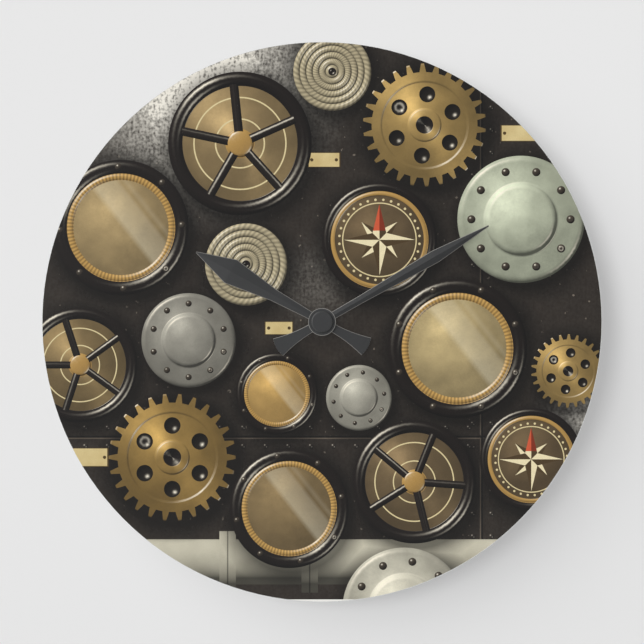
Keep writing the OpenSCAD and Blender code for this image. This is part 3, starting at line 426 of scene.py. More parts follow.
# compass rose: four long points over four short ones, each with a light and a dark half
for tag, turn, taper, reach in motifs["points"]:
    rows += [(f"{tag}Angle", "ADD", "angle", math.radians(turn)), *rayRows(tag, f"{tag}Angle", 4)]
    rows += [
        (f"{tag}Cosine", "COSINE", f"{tag}Off"),
        (f"{tag}Along", "MULTIPLY", f"{tag}Cosine", "r"),
        (f"{tag}Room", "MULTIPLY_ADD", f"{tag}Along", -taper, taper * reach),
        (f"{tag}In", "COMPARE", f"{tag}Side", 0, f"{tag}Room"),
        (f"{tag}Half", "GREATER_THAN", f"{tag}Side", 0),
    ]
rows += [
    ("starHalf", "FLOAT", "longIn", "shortHalf", "longHalf"),
    ("inStar", "MAXIMUM", "longIn", "shortIn"),
    ("isStar", "MULTIPLY", "inStar", "roseOnly"),
    ("pointUp", "GREATER_THAN", "v", motifs["redAbove"]),
    ("redPoint", "MULTIPLY", "pointUp", "longIn"),
    ("darkHalf", "RGBA", "redPoint", inks["starDark"], inks["redDark"]),
    ("lightHalf", "RGBA", "redPoint", inks["starLight"], inks["redLight"]),
    ("starColour", "RGBA", "starHalf", "darkHalf", "lightHalf"),
    # rope coil: round turns of rope with a slanting lay
    ("turnsR", "MULTIPLY", "r", rope["turns"]),
    ("turnsFract", "FRACT", "turnsR"),
    ("layAngle", "MULTIPLY", "angle", rope["strands"]),
    ("layPhase", "MULTIPLY_ADD", "turnsFract", rope["slant"], "layAngle"),
    ("laySine", "SINE", "layPhase"),
    ("layShade", "MULTIPLY_ADD", "laySine", rope["groove"], 1 - rope["groove"]),
    # the whole relief's slope, and the way it leans
    ("slopeCoil", "FLOAT", "coilOn", "slope", "turnsFract"),
    ("radial", "MULTIPLY_ADD", "slopeCoil", 2, -1),
    ("radialSpoke", "FLOAT", "isSpoke", "radial", "spokeAcross"),
    ("litSpoke", "FLOAT", "isSpoke", "lit", "spokeLit"),
    ("boltLean", "MULTIPLY", "boltR", motifs["boltLean"]),
    ("leanRound", "FLOAT", "isRound", "radialSpoke", "boltLean"),
    ("litRound", "FLOAT", "isRound", "litSpoke", "boltLit"),
    # a drilled hole leans the other way than a bolt's head
    ("isHole", "MULTIPLY", "isRound", "cogOnly"),
    ("holeSign", "MULTIPLY_ADD", "isHole", -2, 1),
    ("leanClean", "MULTIPLY", "leanRound", "holeSign"),
    # brushed-on paint is never quite even, so every slope wavers a little
    ("waver", "MULTIPLY_ADD", "peel", *gains["waver"]),
    ("lean", "ADD", "leanClean", "waver"),
]
addRows(tree, made, rows + litRows("fit", "lean", "litRound", "secondLit"))
print("picture: relief of", len(picture["fittings"]), "fittings")

# What the faces show: a soft glow and its fading, two fans of light on turned metal, and two slanting bands
# of reflection in glass
shown = {"glowAt": (-0.22, 0.30, 0), "glow": [(0, 1), (0.35, 0.62), (0.75, 0.36), (1, 0.28)], "fanPower": 8,
         "fan": 0.62, "slant": (0.78, 0.62, 0), "glass": 0.5,
         "bands": [(0, 0), (0.42, 0), (0.46, "#b0b0b0"), (0.60, "#8a8a8a"), (0.63, 0), (0.66, "#6a6a6a"),
                   (0.69, 0)]}
rows = [
    # faces: the glow lies above the middle and falls off to the lower edge
    ("glowFar", "DISTANCE", "uv", shown["glowAt"]),
    ("glow", "ValToRGB", {"ramp": shown["glow"]}, "glowFar"),
    ("faceLevel", "MULTIPLY_ADD", "glow", *gains["faceLevel"]),
    # turned metal throws two opposite fans of light: a power of the cosine to the lamp
    ("fanSize", "ABSOLUTE", "lit"),
    ("fan", "POWER", "fanSize", shown["fanPower"]),
    ("isTurned", "SUBTRACT", "handwheelOn", "coverOn"),
    ("fanHere", "MULTIPLY", "fan", "isTurned"),
    ("fanDim", "MULTIPLY_ADD", "isTurned", *gains["fanDim"]),
    ("fanLevel", "MULTIPLY_ADD", "fanHere", shown["fan"], "fanDim"),
    ("grime", "MULTIPLY_ADD", "brush", *gains["grime"]),
    ("faceWorn", "MULTIPLY", "faceLevel", "grime"),
    ("faceFan", "MULTIPLY", "faceWorn", "fanLevel"),
    ("faceTone", "SCALE", "faceColour", "faceFan"),
    # window glass: the slanting reflections
    ("slant", "DOT_PRODUCT", "uv", shown["slant"]),
    ("slantShare", "MULTIPLY_ADD", "slant", *gains["slant"]),
    ("slantBand", "ValToRGB", {"ramp": shown["bands"]}, "slantShare"),
    ("glassGlare", "MULTIPLY", "slantBand", "isGlass"),
    ("glareSome", "MULTIPLY", "glassGlare", shown["glass"]),
    ("glassFace", "RGBA", "glareSome", "faceTone", inks["glassGlare"]),
    ("ropeTone", "SCALE", "faceColour", "layShade"),
    ("anyFace", "RGBA", "coilOn", "glassFace", "ropeTone"),
    ("tint", "RGBA", "mask", "cloth", "anyFace"),
    # what lies over the faces, from the lowest up
    *[("tint", "RGBA", where, "tint", ink) for where, ink in [
        ("isLine", inks["line"]), ("isStar", "starColour"), ("isSpoke", inks["spoke"]),
        ("isRound", inks["bolt"]), ("isHole", inks["hole"])]],
    ("knurled", "SCALE", "tint", "knurl"),
    ("shaded", "SCALE", "knurled", "fitLevel"),
    ("glossPatch", "MULTIPLY_ADD", "brush", *gains["glossPatch"]),
    ("glossHere", "MULTIPLY", "fitGloss", "glossPatch"),
    ("fitting", "RGBA", "glossHere", "shaded", inks["shine"]),
]
glareFade = [(0, 1), (0.28, 0.80), (0.45, 0.34), (0.72, 0.07), (1, 0.008)]
for glareX, glareZ, reach, strength in picture["glares"]:
    rows += [
        ("glareFar", "DISTANCE", "p", (glareX, glareZ, 0)),
        ("glareShare", "DIVIDE", "glareFar", reach),
        ("glareGone", "ValToRGB", {"ramp": glareFade}, "glareShare"),
        ("glareOwn", "MULTIPLY", "glareGone", strength),
        ("glare", "MAXIMUM", "glare", "glareOwn"),
    ]
seams, rivets, pipe = picture["seams"], picture["rivets"], picture["pipe"]
rows += [
    # ground: brushed-on black paint; scratches and orange peel show in the glare, and small chips everywhere
    ("peelLevel", "MULTIPLY_ADD", "peel", *gains["peel"]),
    ("peelSpark", "ADD", "peelLevel", "brush"),
    ("scratchLevel", "MULTIPLY_ADD", "scratches", *gains["scratch"]),
    ("sparkle", "MULTIPLY_ADD", "peelSpark", picture["sparkle"], "scratchLevel"),
    ("sparkleSafe", "Clamp", None, "sparkle", *picture["sparkleLimits"]),
    ("groundGlare", "MULTIPLY", "glare", "sparkleSafe"),
    ("glareTop", "MINIMUM", "groundGlare", picture["glareLimit"]),
    ("cleanMix", "RGBA", "brush", inks["ground"], inks["groundWorn"]),
    ("isChip", "GREATER_THAN", "chips", picture["chipsAbove"]),
    ("wornMix", "RGBA", "isChip", "cleanMix", inks["chip"]),
    # seams between the plates of the bulkhead, with a row of rivets on both sides
    ("uprightOff", "SUBTRACT", "x", seams["x"]),
    ("levelOff", "SUBTRACT", "z", seams["z"]),
    ("uprightSize", "ABSOLUTE", "uprightOff"),
    ("levelSize", "ABSOLUTE", "levelOff"),
    ("isUpright", "LESS_THAN", "uprightSize", "levelSize"),
    ("across", "FLOAT", "isUpright", "levelOff", "uprightOff"),
    ("along", "FLOAT", "isUpright", "x", "z"),
    ("acrossSide", "SIGN", "across"),
    ("rivetRow", "MULTIPLY", "acrossSide", rivets["off"]),
    ("rivetAcross", "SUBTRACT", "across", "rivetRow"),
    *cellRows("rivet", "along", rivets["spacing"]),
    ("rivetX", "FLOAT", "isUpright", "rivetOff", "rivetAcross"),
    ("rivetZ", "FLOAT", "isUpright", "rivetAcross", "rivetOff"),
    ("rivetAt", "CombineXYZ", None, "rivetX", "rivetZ", 0),
    ("rivetFar", "LENGTH", "rivetAt"),
    ("rivetR", "DIVIDE", "rivetFar", rivets["radius"]),
    ("isRivet", "LESS_THAN", "rivetR", 1),
    ("rivetLean", "MULTIPLY", "rivetR", rivets["lean"]),
    *cosineRows("rivetLit", "rivetAt", "rivetFar", sideways),
    *cosineRows("rivetSecondLit", "rivetAt", "rivetFar", secondSideways),
    *litRows("rivet", "rivetLean", "rivetLit", "rivetSecondLit"),
    ("isSeam", "COMPARE", "across", 0, seams["half"]),
    ("isLip", "COMPARE", "across", seams["lip"], seams["lipHalf"]),
    ("seamDark", "RGBA", "isSeam", "wornMix", inks["seam"]),
    ("seamLit", "RGBA", "isLip", "seamDark", inks["seamLip"]),
    ("rivetTone", "SCALE", "wornMix", "rivetLevel"),
    ("rivetShine", "MULTIPLY", "rivetGloss", rivets["shine"]),
    ("rivetColour", "RGBA", "rivetShine", "rivetTone", inks["rivetShine"]),
    ("seamRivet", "RGBA", "isRivet", "seamLit", "rivetColour"),
    ("groundLit", "RGBA", "glareTop", "seamRivet", inks["groundGlare"]),
    ("shadeNear", "DIVIDE", "near", shadow["reach"]),
    ("shadeSafe", "Clamp", None, "shadeNear", 0, 1),
    ("shadeLevel", "MULTIPLY_ADD", "shadeSafe", 1 - shadow["level"], shadow["level"]),
    ("ground", "SCALE", "groundLit", "shadeLevel"),
]

# The pale pipe: its radius grows at each flange, and the place across it runs from -1 to 1
for flangeX in pipe["flanges"]:
    rows += [
        ("flangeAt", "COMPARE", "x", flangeX, pipe["flangeHalf"]),
        ("flange", "MAXIMUM", "flange", "flangeAt"),
        ("jointAt", "COMPARE", "x", flangeX, pipe["jointHalf"]),
        ("joint", "MAXIMUM", "joint", "jointAt"),
    ]
rows += [
    ("pipeRadius", "MULTIPLY_ADD", "flange", pipe["flangeRadius"] - pipe["radius"], pipe["radius"]),
    ("pipeOff", "SUBTRACT", "z", pipe["z"]),
    ("pipeAcross", "DIVIDE", "pipeOff", "pipeRadius"),
    ("isPipe", "COMPARE", "pipeAcross", 0, 1),
    *riseRows("pipe", "pipeAcross"),
    ("pipeSide", "MULTIPLY", "pipeAcross", lamp[1]),
    ("pipeLight", "MULTIPLY_ADD", "pipeRise", lamp[2], "pipeSide"),
    ("pipeLit", "MULTIPLY_ADD", "pipeLight", *gains["pipe"]),
    ("pipeLevel", "MAXIMUM", "pipeLit", pipe["darkest"]),
    ("jointLevel", "MULTIPLY_ADD", "joint", -pipe["jointDark"], 1),
    ("pipeJoined", "MULTIPLY", "pipeLevel", "jointLevel"),
    ("pipeShadow", "MULTIPLY", "pipeJoined", "shadeLevel"),
    ("pipePaint", "RGBA", "brush", inks["pipe"], inks["pipePale"]),
    ("pipeColour", "SCALE", "pipePaint", "pipeShadow"),
    ("plated", "RGBA", "isPipe", "ground", "pipeColour"),
]

# Blank brass plates with a screw near each end
for cx, cz, halfWide, halfHigh in picture["plates"]:
    rows += [
        ("tag", "VectorMath", "SUBTRACT", "p", (cx, cz, 0)),
        ("tagSize", "VectorMath", "ABSOLUTE", "tag"),
        ("tagShare", "VectorMath", "DIVIDE", "tagSize", (halfWide, halfHigh, 1)),
        ("tagParts", "SeparateXYZ", None, "tagShare"),
        ("tagFar", "MAXIMUM", "tagParts", ("tagParts", 1)),
        ("tagIn", "LESS_THAN", "tagFar", 1),
        ("tagRim", "GREATER_THAN", "tagFar", picture["plateRim"]),
        ("screwAt", "DISTANCE", "tagSize", (halfWide - picture["screwIn"], 0, 0)),
        ("screw", "LESS_THAN", "screwAt", picture["screwRadius"]),
        ("tagDark", "MAXIMUM", "tagRim", "screw"),
        ("tagTone", "RGBA", "brush", inks["plate"], inks["platePale"]),
        ("tagColour", "RGBA", "tagDark", "tagTone", inks["plateRim"]),
        ("plated", "RGBA", "tagIn", "plated", "tagColour"),
    ]
made["normal"] = addNode(tree, "NewGeometry").outputs["True Normal"]
rows += [
    ("inFitting", "GREATER_THAN", "number", 0.5),
    ("gapOff", "SUBTRACT", "inFitting", "isGap"),
    ("scene", "RGBA", "gapOff", "plated", "fitting"),
    ("grainLevel", "MULTIPLY_ADD", "grain", *gains["grain"]),
    ("grained", "SCALE", "scene", "grainLevel"),
    # the white base of the film: under the picture's lower edge, on the film's own edge and on its back
    ("isBase", "LESS_THAN", "z", picture["whiteBelow"]),
    ("normalParts", "SeparateXYZ", None, "normal"),
    ("isBack", "GREATER_THAN", ("normalParts", 1), -0.5),
    ("isWhite", "MAXIMUM", "isBack", "isBase"),
    ("inked", "RGBA", "isWhite", "grained", inks["filmBase"]),
]
addRows(tree, made, rows)
tree.links.new(made["inked"], shader.inputs["Base Color"])
giveMaterial(printedFilm, ["printed_face"])
# the film is bonded to the disc; 0.02 mm of clear glue between them keeps the two faces apart
bond = nodes["printed_face"].modifiers.new("bond", "DISPLACE")
bond.direction, bond.mid_level, bond.strength = "Y", 0, -0.00002

# A map to bake the picture through: the front fills it, the plain back lies small in one corner and the two
# rims lie as strips in another. Centres, radii and strips are shares of the map.
filmMap = {"name": "OFBake", "front": (0.5, 0.499), "back": (0.07, 0.06), "stripFrom": 0.88,
           "stripLong": 0.10, "outerRim": 0.03, "boreRim": 0.08, "stripWide": 0.02}


def mapFilm(film):
    layer = film.uv_layers.new(name=filmMap["name"])
    low, high = [edge(corner.co.y for corner in film.vertices) for edge in (min, max)]
    reach = max(corner.co.x for corner in film.vertices)
    for face in film.polygons:
        middle, radius = filmMap["front" if face.normal.y < 0 else "back"]
        facing = abs(face.normal.y) > 0.5
        turn = math.atan2(face.center.z, face.center.x)
        rim = filmMap["outerRim" if math.hypot(face.center.x, face.center.z) > reach / 2 else "boreRim"]
        for index in face.loop_indices:
            x, y, z = film.vertices[film.loops[index].vertex_index].co
            # a rim's turn is counted from its face's own, so that no face spans the whole strip
            past = (math.atan2(z, x) - turn + math.pi) % math.tau - math.pi
            along = filmMap["stripFrom"] + filmMap["stripLong"] * ((turn + past) / math.tau + 0.5)
            across = rim + filmMap["stripWide"] * (y - low) / (high - low)
            onFace = middle + radius * x / reach, middle + radius * z / reach
            layer.uv[index].vector = onFace if facing else (along, across)


mapFilm(nodes["printed_face"].data)
print("printed film made:", len(tree.nodes), "shader nodes")

# Every finish: two tones mixed by cloudy patches, and a grain that drives its bump and its roughness.
# cloud and grain are sizes in mm, and depth is the bump's height in mm. Where they are given, stretch draws
# the grain out along x, y and z, and metal is 1 on bare metal
finishes = {
    # Aluminium sheet, punched, with a dark satin lacquer: a soft even sheen, and a painted highlight on the
    # thin cut edge
    "lacqueredAluminium": {
        "tones": ("#1d1e1f", "#232425"), "cloud": 9, "grain": 0.5, "depth": 0.004,
        "rough": (0.36, 0.46), "nodes": ["hour_hand", "minute_hand", "hand_cap_nut"]},
    # Brass, turned on a lathe: warm metal with fine rings round the arbor
    "turnedBrass": {
        "tones": ("#b48f4a", "#d0ad68"), "cloud": 4, "grain": 0.4, "depth": 0.004,
        "rough": (0.20, 0.34), "metal": 1, "nodes": ["dial_washer", "hex_nut", "minute_arbor"]},
    # Black rubber, vulcanised in a mould: dull, with a pale bloom in patches
    "vulcanisedRubber": {
        "tones": ("#171717", "#2b2a29"), "cloud": 3, "grain": 0.5, "depth": 0.03,
        "rough": (0.70, 0.90), "nodes": ["rubber_washer"]},
    # Steel sheet, rolled, bent and zinc plated: bluish grey with long rolling lines and cloudy bright patches
    "zincPlatedSteel": {
        "tones": ("#9ea3a8", "#c3c6c6"), "cloud": 5, "grain": 0.7, "stretch": (1, 1, 0.06), "depth": 0.01,
        "rough": (0.28, 0.46), "metal": 1, "nodes": ["hanger_bracket"]},
    # ABS, injection moulded in a spark-eroded mould: black with a fine even grain, drawn coarser to show
    "mouldedAbs": {
        "tones": ("#191a1c", "#222326"), "cloud": 14, "grain": 0.45, "depth": 0.03,
        "rough": (0.44, 0.62),
        "nodes": ["movement_rear_housing", "movement_front_cover", "setting_knob"]},
    # Acetal, injection moulded: ivory and waxy, with faint flow marks
    "mouldedAcetal": {
        "tones": ("#dcd4c2", "#ece6d8"), "cloud": 3, "grain": 0.4, "stretch": (1, 0.4, 1), "depth": 0.008,
        "rough": (0.34, 0.48),
        "nodes": ["train_bridge", "centre_wheel", "hour_wheel", "motion_wheel", "third_wheel", "second_wheel",
                  "fifth_wheel", "rotor_pinion", "coil_bobbin"]},
    # Spring steel strip, nickel plated: bright, with fine lines from rolling
    "nickelPlatedSteel": {
        "tones": ("#b4b2ac", "#cfcdc8"), "cloud": 3, "grain": 0.35, "stretch": (0.1, 1, 1), "depth": 0.004,
        "rough": (0.16, 0.30), "metal": 1,
        "nodes": ["clutch_spring", "second_arbor", "quartz_crystal", "contact_positive", "contact_negative",
                  "battery_can"]},
    # Ferrite, pressed and sintered: dark grey, fine grained and dull
    "sinteredFerrite": {
        "tones": ("#2c2b2d", "#454447"), "cloud": 1, "grain": 0.2, "depth": 0.01,
        "rough": (0.45, 0.65), "nodes": ["rotor_magnet"]},
    # Silicon iron sheet, punched: grey metal with a mottled oxide skin
    "siliconIron": {
        "tones": ("#6f7174", "#9a9b9c"), "cloud": 1.5, "grain": 0.3, "stretch": (0.2, 1, 1), "depth": 0.006,
        "rough": (0.32, 0.50), "metal": 1, "nodes": ["stator", "coil_core"]},
    # Copper wire, enamelled and wound in layers: reddish and shiny, with a groove between the turns
    "enamelledCopper": {
        "tones": ("#9c5427", "#c27a45"), "cloud": 2, "grain": 0.3, "depth": 0.002,
        "rough": (0.22, 0.34), "metal": 1, "nodes": ["coil_winding"]},
    # Glass epoxy board, pressed and coated with a green solder mask: the weave shows faintly through it
    "glassEpoxy": {
        "tones": ("#15502d", "#1f6a3d"), "cloud": 2, "grain": 0.3, "depth": 0.004,
        "rough": (0.26, 0.38), "nodes": ["circuit_board"]},
    # Epoxy resin, dropped on and cured: black and glossy, with a slightly uneven skin
    "castResin": {
        "tones": ("#0c0c0d", "#151516"), "cloud": 1.5, "grain": 0.8, "depth": 0.02,
        "rough": (0.14, 0.26), "nodes": ["control_chip"]},
    # Polyester film, printed and shrunk on to the cell: glossy, with coloured bands round it
    "shrunkFilm": {
        "tones": ("#23332d", "#2a3d35"), "cloud": 8, "grain": 1.2, "stretch": (0.3, 1, 1), "depth": 0.01,
        "rough": (0.16, 0.26), "nodes": ["battery_sleeve"]},
}
surfaces = {}
for name, values in finishes.items():
    material, tree, shader = newMaterial(name, {"Metallic": values.get("metal", 0)})
    made = addPlace(tree)
    low, high = values["rough"]
    addRows(tree, made, [
        ("cloud", "TexNoise", None, "object", 0, 1000 / values["cloud"], 3),
        ("stretched", "VectorMath", "MULTIPLY", "object", values.get("stretch", (1, 1, 1))),
        ("grain", "TexNoise", None, "stretched", 0, 1000 / values["grain"], 2),
        ("patch", "MULTIPLY_ADD", "cloud", *gains["patch"]),
        ("tone", "RGBA", "patch", *values["tones"]),
        ("rough", "MULTIPLY_ADD", "grain", high - low, low),
    ])
    made["height"] = made["grain"]
    surfaces[name] = (tree, shader, made)
    giveMaterial(material, values["nodes"])

# the hands' cut edges: a painted highlight, lighter grey on every chamfer and round the top of the hub,
# fainter on the cap nut
hands = {"edge": "#85837f", "capEdgeHighlight": "#3a3b3b", "edgeFacing": 0.93, "hubTop": -29.6, "hubRadius": 6.6,
         "hubEdge": 0.16, "capFront": -29.9}
tree, shader, made = surfaces["lacqueredAluminium"]
addFacing(tree, made)
addRows(tree, made, [
    ("sloping", "LESS_THAN", "facing", hands["edgeFacing"]),
    ("fromArbor", "LENGTH", "p"),
    ("hubEdge", "COMPARE", "fromArbor", hands["hubRadius"], hands["hubEdge"]),
    ("onTop", "LESS_THAN", "y", hands["hubTop"]),
    ("hubRing", "MULTIPLY", "hubEdge", "onTop"),
    ("isEdge", "MAXIMUM", "sloping", "hubRing"),
    ("onCap", "LESS_THAN", "y", hands["capFront"]),
    # painted highlight: the chamfers' and the hub ring's grey, fainter on the cap nut
    ("edgeTone", "RGBA", "onCap", hands["edge"], hands["capEdgeHighlight"]),
    ("tone", "RGBA", "isEdge", "tone", "edgeTone"),
])

# raised marks on the case's back: a plus and a minus at the cell's ends, and an arrow round the knob. A bar
# is x, half width and half height, the arc is radius and half width, and the arrow runs between two turns in
# radians, its head past the second. From here on a height counts in its finish's depth
marks = {"bars": [(-21, 1.7, 0.42), (-21, 0.42, 1.7), (21, 1.7, 0.42)], "barsZ": -8.2,
         "knob": (10.83, 3.94, 0), "arc": (8.1, 0.35), "arcFrom": 0.7, "arcTo": 2.5, "head": 0.30,
         "headHalf": 1.3, "raised": "#3a3c40", "behind": -0.3, "height": 6}
tree, shader, made = surfaces["mouldedAbs"]
made["bars"] = 0
rows = [("onBack", "GREATER_THAN", "y", marks["behind"])]
for middle, halfWide, halfHigh in marks["bars"]:
    rows += [
        ("barWide", "COMPARE", "x", middle, halfWide),
        ("barHigh", "COMPARE", "z", marks["barsZ"], halfHigh),
        ("bar", "MULTIPLY", "barWide", "barHigh"),
        ("bars", "MAXIMUM", "bars", "bar"),
    ]
rows += [
    ("knobAt", "VectorMath", "SUBTRACT", "p", marks["knob"]),
    ("knobFar", "LENGTH", "knobAt"),
    ("knobParts", "SeparateXYZ", None, "knobAt"),
    ("knobTurn", "ARCTAN2", ("knobParts", 1), "knobParts"),
    # the arrow's half width: the arc's own, or the head's, which narrows to nothing at its point
    ("headShare", "SUBTRACT", marks["arcTo"] + marks["head"], "knobTurn"),
    ("headHalf", "MULTIPLY", "headShare", marks["headHalf"] / marks["head"]),
    ("inHead", "GREATER_THAN", "knobTurn", marks["arcTo"]),
    ("arrowHalf", "FLOAT", "inHead", marks["arc"][1], "headHalf"),
    ("onArrow", "COMPARE", "knobFar", marks["arc"][0], "arrowHalf"),
    ("afterStart", "GREATER_THAN", "knobTurn", marks["arcFrom"]),
    ("arrow", "MULTIPLY", "onArrow", "afterStart"),
    ("marked", "MAXIMUM", "bars", "arrow"),
    ("isMark", "MULTIPLY", "marked", "onBack"),
    ("tone", "RGBA", "isMark", "tone", marks["raised"]),
    ("height", "MULTIPLY_ADD", "isMark", marks["height"], "grain"),
]
addRows(tree, made, rows)

# lathe rings on the turned brass round the arbor's axis, 0.25 mm apart
lathe = {"pitch": 0.25, "height": 0.35}
tree, shader, made = surfaces["turnedBrass"]
addRows(tree, made, [
    ("fromArbor", "LENGTH", "p"),
    ("ringTurn", "MULTIPLY", "fromArbor", math.tau / lathe["pitch"]),
    ("ring", "SINE", "ringTurn"),
    ("height", "MULTIPLY_ADD", "ring", lathe["height"], "grain"),
])

# turns of the winding, drawn 0.35 mm wide where the wire is 0.03 mm, so that they show, with painted shade
# that darkens the groove between turns to half
wire = {"wide": 0.35, "height": 12, "groove": 0.5}
tree, shader, made = surfaces["enamelledCopper"]
addRows(tree, made, [
    ("turnPhase", "MULTIPLY", "x", math.pi / wire["wide"]),
    ("turnSine", "SINE", "turnPhase"),
    ("turnRound", "ABSOLUTE", "turnSine"),
    ("height", "MULTIPLY", "turnRound", wire["height"]),
    ("groove", "MULTIPLY_ADD", "turnRound", 1 - wire["groove"], wire["groove"]),
    ("tone", "SCALE", "tone", "groove"),
])

# copper tracks under the board's mask: level ones at an even pitch, and boxes of upright ones among them.
# A cell, in mm, holds one box, whose half size is a share of it
tracks = {"pitch": 1.1, "cell": (2, 4), "boxHalf": 0.34, "gapHalf": 0.36, "tone": "#3f8a4e", "height": 4}
cellWide, cellHigh = tracks["cell"]
tree, shader, made = surfaces["glassEpoxy"]
addRows(tree, made, [
    ("trackX", "PINGPONG", "x", tracks["pitch"] / 2),
    ("trackZ", "PINGPONG", "z", tracks["pitch"] / 2),
    ("cellPlace", "VectorMath", "MULTIPLY", "object", (1000 / cellWide, 0, 1000 / cellHigh)),
    ("cells", "TexVoronoi", {"distance": "CHEBYCHEV"}, "cellPlace", 0, 1),
    ("outsideBox", "GREATER_THAN", "cells", tracks["boxHalf"]),
    ("track", "FLOAT", "outsideBox", "trackX", "trackZ"),
    ("isTrack", "GREATER_THAN", "track", tracks["gapHalf"]),
    ("tone", "RGBA", "isTrack", "tone", tracks["tone"]),
    ("height", "MULTIPLY_ADD", "isTrack", tracks["height"], "grain"),
])

# the cell's sleeve: a brass-coloured band at the button end, a pale line at its edge and a thin one past it
sleeve = {"bandTo": -13.5, "line": 0.45, "secondLine": 2.2, "band": "#b08a44", "lines": "#d9d5c8"}
tree, shader, made = surfaces["shrunkFilm"]
addRows(tree, made, [
    ("isBand", "LESS_THAN", "x", sleeve["bandTo"]),
    ("banded", "RGBA", "isBand", "tone", sleeve["band"]),
    ("isLine", "COMPARE", "x", sleeve["bandTo"], sleeve["line"]),
    ("isSecondLine", "COMPARE", "x", sleeve["bandTo"] + sleeve["secondLine"], sleeve["line"] / 2),
    ("anyLine", "MAXIMUM", "isLine", "isSecondLine"),
    ("tone", "RGBA", "anyLine", "banded", sleeve["lines"]),
])

for name, (tree, shader, made) in surfaces.items():
    tree.links.new(made["rough"], shader.inputs["Roughness"])
    joinSurface(tree, shader, made, finishes[name]["depth"])
print("finishes made:", len(surfaces))

# How bright the room is for each kind of ray
levels = {"rest": 0.14, "camera": 0.80, "glossy": 0.50, "clear": 0.80}

# Cast acrylic, cut by laser and flame polished: clear, a little green in its depth, with faint lines across
# its edge. radius, lineWidth, depth and glued, the y of the face under the film, are in mm
acrylic = {"tint": "#f9fbf8", "edgeTint": "#e6ece7", "radius": 136.5, "lineWidth": 0.6, "depth": 0.01,
           "glued": -23.29}
castAcrylic, tree, shader = newMaterial("castAcrylic", {"Roughness": 0.04, "IOR": 1.49,
                                                        "Transmission Weight": 0.9})
made = addPlace(tree)
addFacing(tree, made)
addRows(tree, made, [
    ("isEdge", "LESS_THAN", "facing", 0.5),
    ("tone", "RGBA", "isEdge", acrylic["tint"], acrylic["edgeTint"]),
    ("round", "ARCTAN2", "z", "x"),
    ("roundMm", "MULTIPLY", "round", acrylic["radius"] / acrylic["lineWidth"]),
    ("roundAt", "CombineXYZ", None, "roundMm", 0, 0),
    ("lines", "TexNoise", None, "roundAt", 0, 1, 2),
    ("height", "MULTIPLY", "lines", "isEdge"),
    ("isGlued", "LESS_THAN", "y", acrylic["glued"]),
])
joinSurface(tree, shader, made, acrylic["depth"])
# lamplight passes straight through it, so that the film on its front is lit from behind too; to the wall's
# diffuse rays the disc glows with the room's own dim light, not that of the rear lamps, as there is no room
# behind that wall
straight = addNode(tree, "BsdfTransparent", {}, {"Color": hexColour(acrylic["tint"])})
roomGlow = addNode(tree, "Emission", {}, {"Color": (1, 1, 1, 1), "Strength": levels["rest"]})
# where the film is glued on, the two touch without air between them, so nothing bends or mirrors there
bonded = addNode(tree, "BsdfTransparent", {}, {"Color": (1, 1, 1, 1)})
rays = addNode(tree, "LightPath").outputs
surface = shader.outputs[0]
for share, other in ((rays["Is Shadow Ray"], straight), (made["isGlued"], bonded),
                     (rays["Is Diffuse Ray"], roomGlow)):
    mixed = addNode(tree, "MixShader", {}, {0: share, 1: surface, 2: other.outputs[0]})
    surface = mixed.outputs[0]
tree.links.new(surface, tree.nodes["Material Output"].inputs["Surface"])
giveMaterial(castAcrylic, ["face_disc"])
print("acrylic made")

# Stage: a pale wall just behind the clock that is seen only from the room's side, and a floor well below it
stage = {"wall": "#e7e7e7", "floor": "#f4f4f4", "wallBehind": 0.0006, "floorDrop": 0.30, "reach": 3,
         # name, share of the wall's light or own strength, tilt, turn and width in degrees, seen in gloss
         "lamps": [("frontSun", 0.425, 2, 297, 4, False), ("nearSun", 0.215, 24, 285, 24, True),
                   ("lowSun", 0.225, 64.7, 302, 68, True)],
         "rearLamps": [("rearSun", 1.6, 140, 320, 40, True), ("rearFill", 0.9, 165, 140, 30, False)]}


def flatSheet(name, corners):
    mesh = bpy.data.meshes.new(name)
    mesh.from_pydata(corners, [], [(0, 1, 2, 3)])
    sheet = bpy.data.objects.new(name, mesh)
    bpy.context.scene.collection.objects.link(sheet)
    return sheet


floorZ, reach = -stage["floorDrop"], stage["reach"]
corners = (-reach, -reach), (reach, -reach), (reach, reach), (-reach, reach)
wall = flatSheet("wallBoard", [(x, stage["wallBehind"], max(z, floorZ)) for x, z in corners])
floor = flatSheet("floorBoard", [(x, y, floorZ) for x, y in corners])
for ray in ("visible_shadow", "visible_diffuse", "visible_glossy", "visible_transmission"):
    setattr(wall, ray, False)
floor.visible_diffuse = False

# Matt wall paint: plain, and clear from behind so that the clock's back can be seen
wallPaint, tree, shader = newMaterial("wallPaint", {"Base Color": stage["wall"], "Roughness": 0.9,
                                                    "Specular IOR Level": 0.0})
behind = addNode(tree, "NewGeometry").outputs["Backfacing"]
clear = addNode(tree, "BsdfTransparent")
seen = addNode(tree, "MixShader", {}, {0: behind, 1: shader.outputs[0], 2: clear.outputs[0]})
tree.links.new(seen.outputs[0], tree.nodes["Material Output"].inputs["Surface"])
wall.data.materials.append(wallPaint)
floorPaint, tree, shader = newMaterial("floorPaint", {"Base Color": stage["floor"], "Roughness": 0.9,
                                                      "Specular IOR Level": 0.0})
floor.data.materials.append(floorPaint)


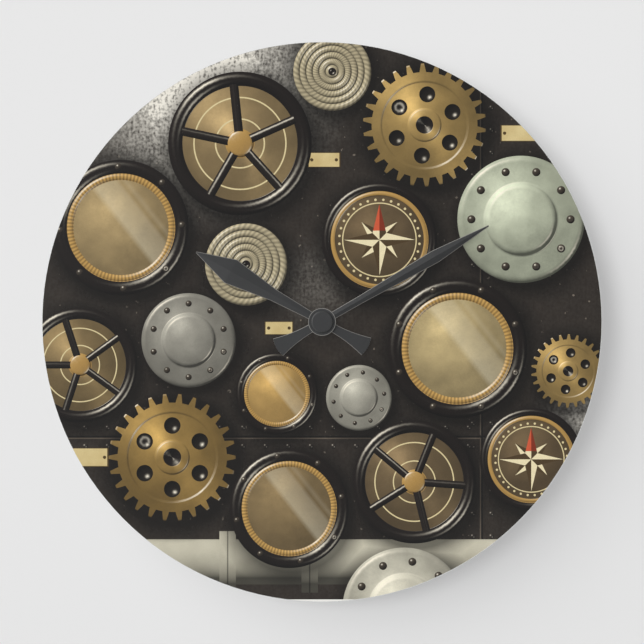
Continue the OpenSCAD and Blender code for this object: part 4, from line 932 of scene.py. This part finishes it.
def addSun(name, strength, tilt, turn, angle, glossy):
    # a soft lamp that shines from turn degrees clockwise of twelve, tilt degrees off the wall's normal
    light = bpy.data.lights.new(name, "SUN")
    light.energy = strength
    light.angle = math.radians(angle)
    sun = bpy.data.objects.new(name, light)
    bpy.context.scene.collection.objects.link(sun)
    t, a = math.radians(tilt), math.radians(turn)
    towards = Vector((math.sin(t) * math.sin(a), -math.cos(t), math.sin(t) * math.cos(a)))
    sun.rotation_mode = "QUATERNION"
    sun.rotation_quaternion = towards.to_track_quat("Z", "Y")
    sun.visible_glossy = glossy
    sun.visible_transmission = False


for name, share, tilt, turn, angle, glossy in stage["lamps"]:
    # share is what the lamp gives to the wall, of all the light that falls on it
    addSun(name, math.pi * share / math.cos(math.radians(tilt)), tilt, turn, angle, glossy)
for lampRow in stage["rearLamps"]:
    addSun(*lampRow)

# the camera and clear surfaces see a pale room, glossy ones a dimmer one, and the rest gets a little light
world = bpy.data.worlds.new("paleRoom")
bpy.context.scene.world = world
world.use_nodes = True
tree = world.node_tree
rays = addNode(tree, "LightPath").outputs
made = {"camera": rays["Is Camera Ray"], "glossy": rays["Is Glossy Ray"],
        "clear": rays["Is Transmission Ray"]}
addRows(tree, made, [
    ("seenLevel", "FLOAT", "camera", levels["rest"], levels["camera"]),
    ("glossLevel", "FLOAT", "glossy", "seenLevel", levels["glossy"]),
    ("clearLevel", "FLOAT", "clear", "glossLevel", levels["clear"]),
])
background = tree.nodes["Background"]
background.inputs["Color"].default_value = (1, 1, 1, 1)
tree.links.new(made["clearLevel"], background.inputs["Strength"])

# long lens square to the disc: the disc's 273 mm cover 560 of the picture's 644 pixels
view = {"lens": 135, "sensor": 36, "discPixels": 560, "picturePixels": 644, "discWide": 0.273,
        "front": -0.02345, "rise": -0.00005}
camera = bpy.data.cameras.new("camera")
camera.lens, camera.sensor_width = view["lens"], view["sensor"]
cameraObject = bpy.data.objects.new("camera", camera)
bpy.context.scene.collection.objects.link(cameraObject)
bpy.context.scene.camera = cameraObject
across = view["discWide"] * view["picturePixels"] / view["discPixels"]
distance = across * view["lens"] / view["sensor"]
cameraObject.location = (0, view["front"] - distance, view["rise"])
cameraObject.rotation_euler = (math.pi / 2, 0, 0)
bpy.context.scene.view_settings.view_transform = "Standard"
print("stage, lamps and camera set")
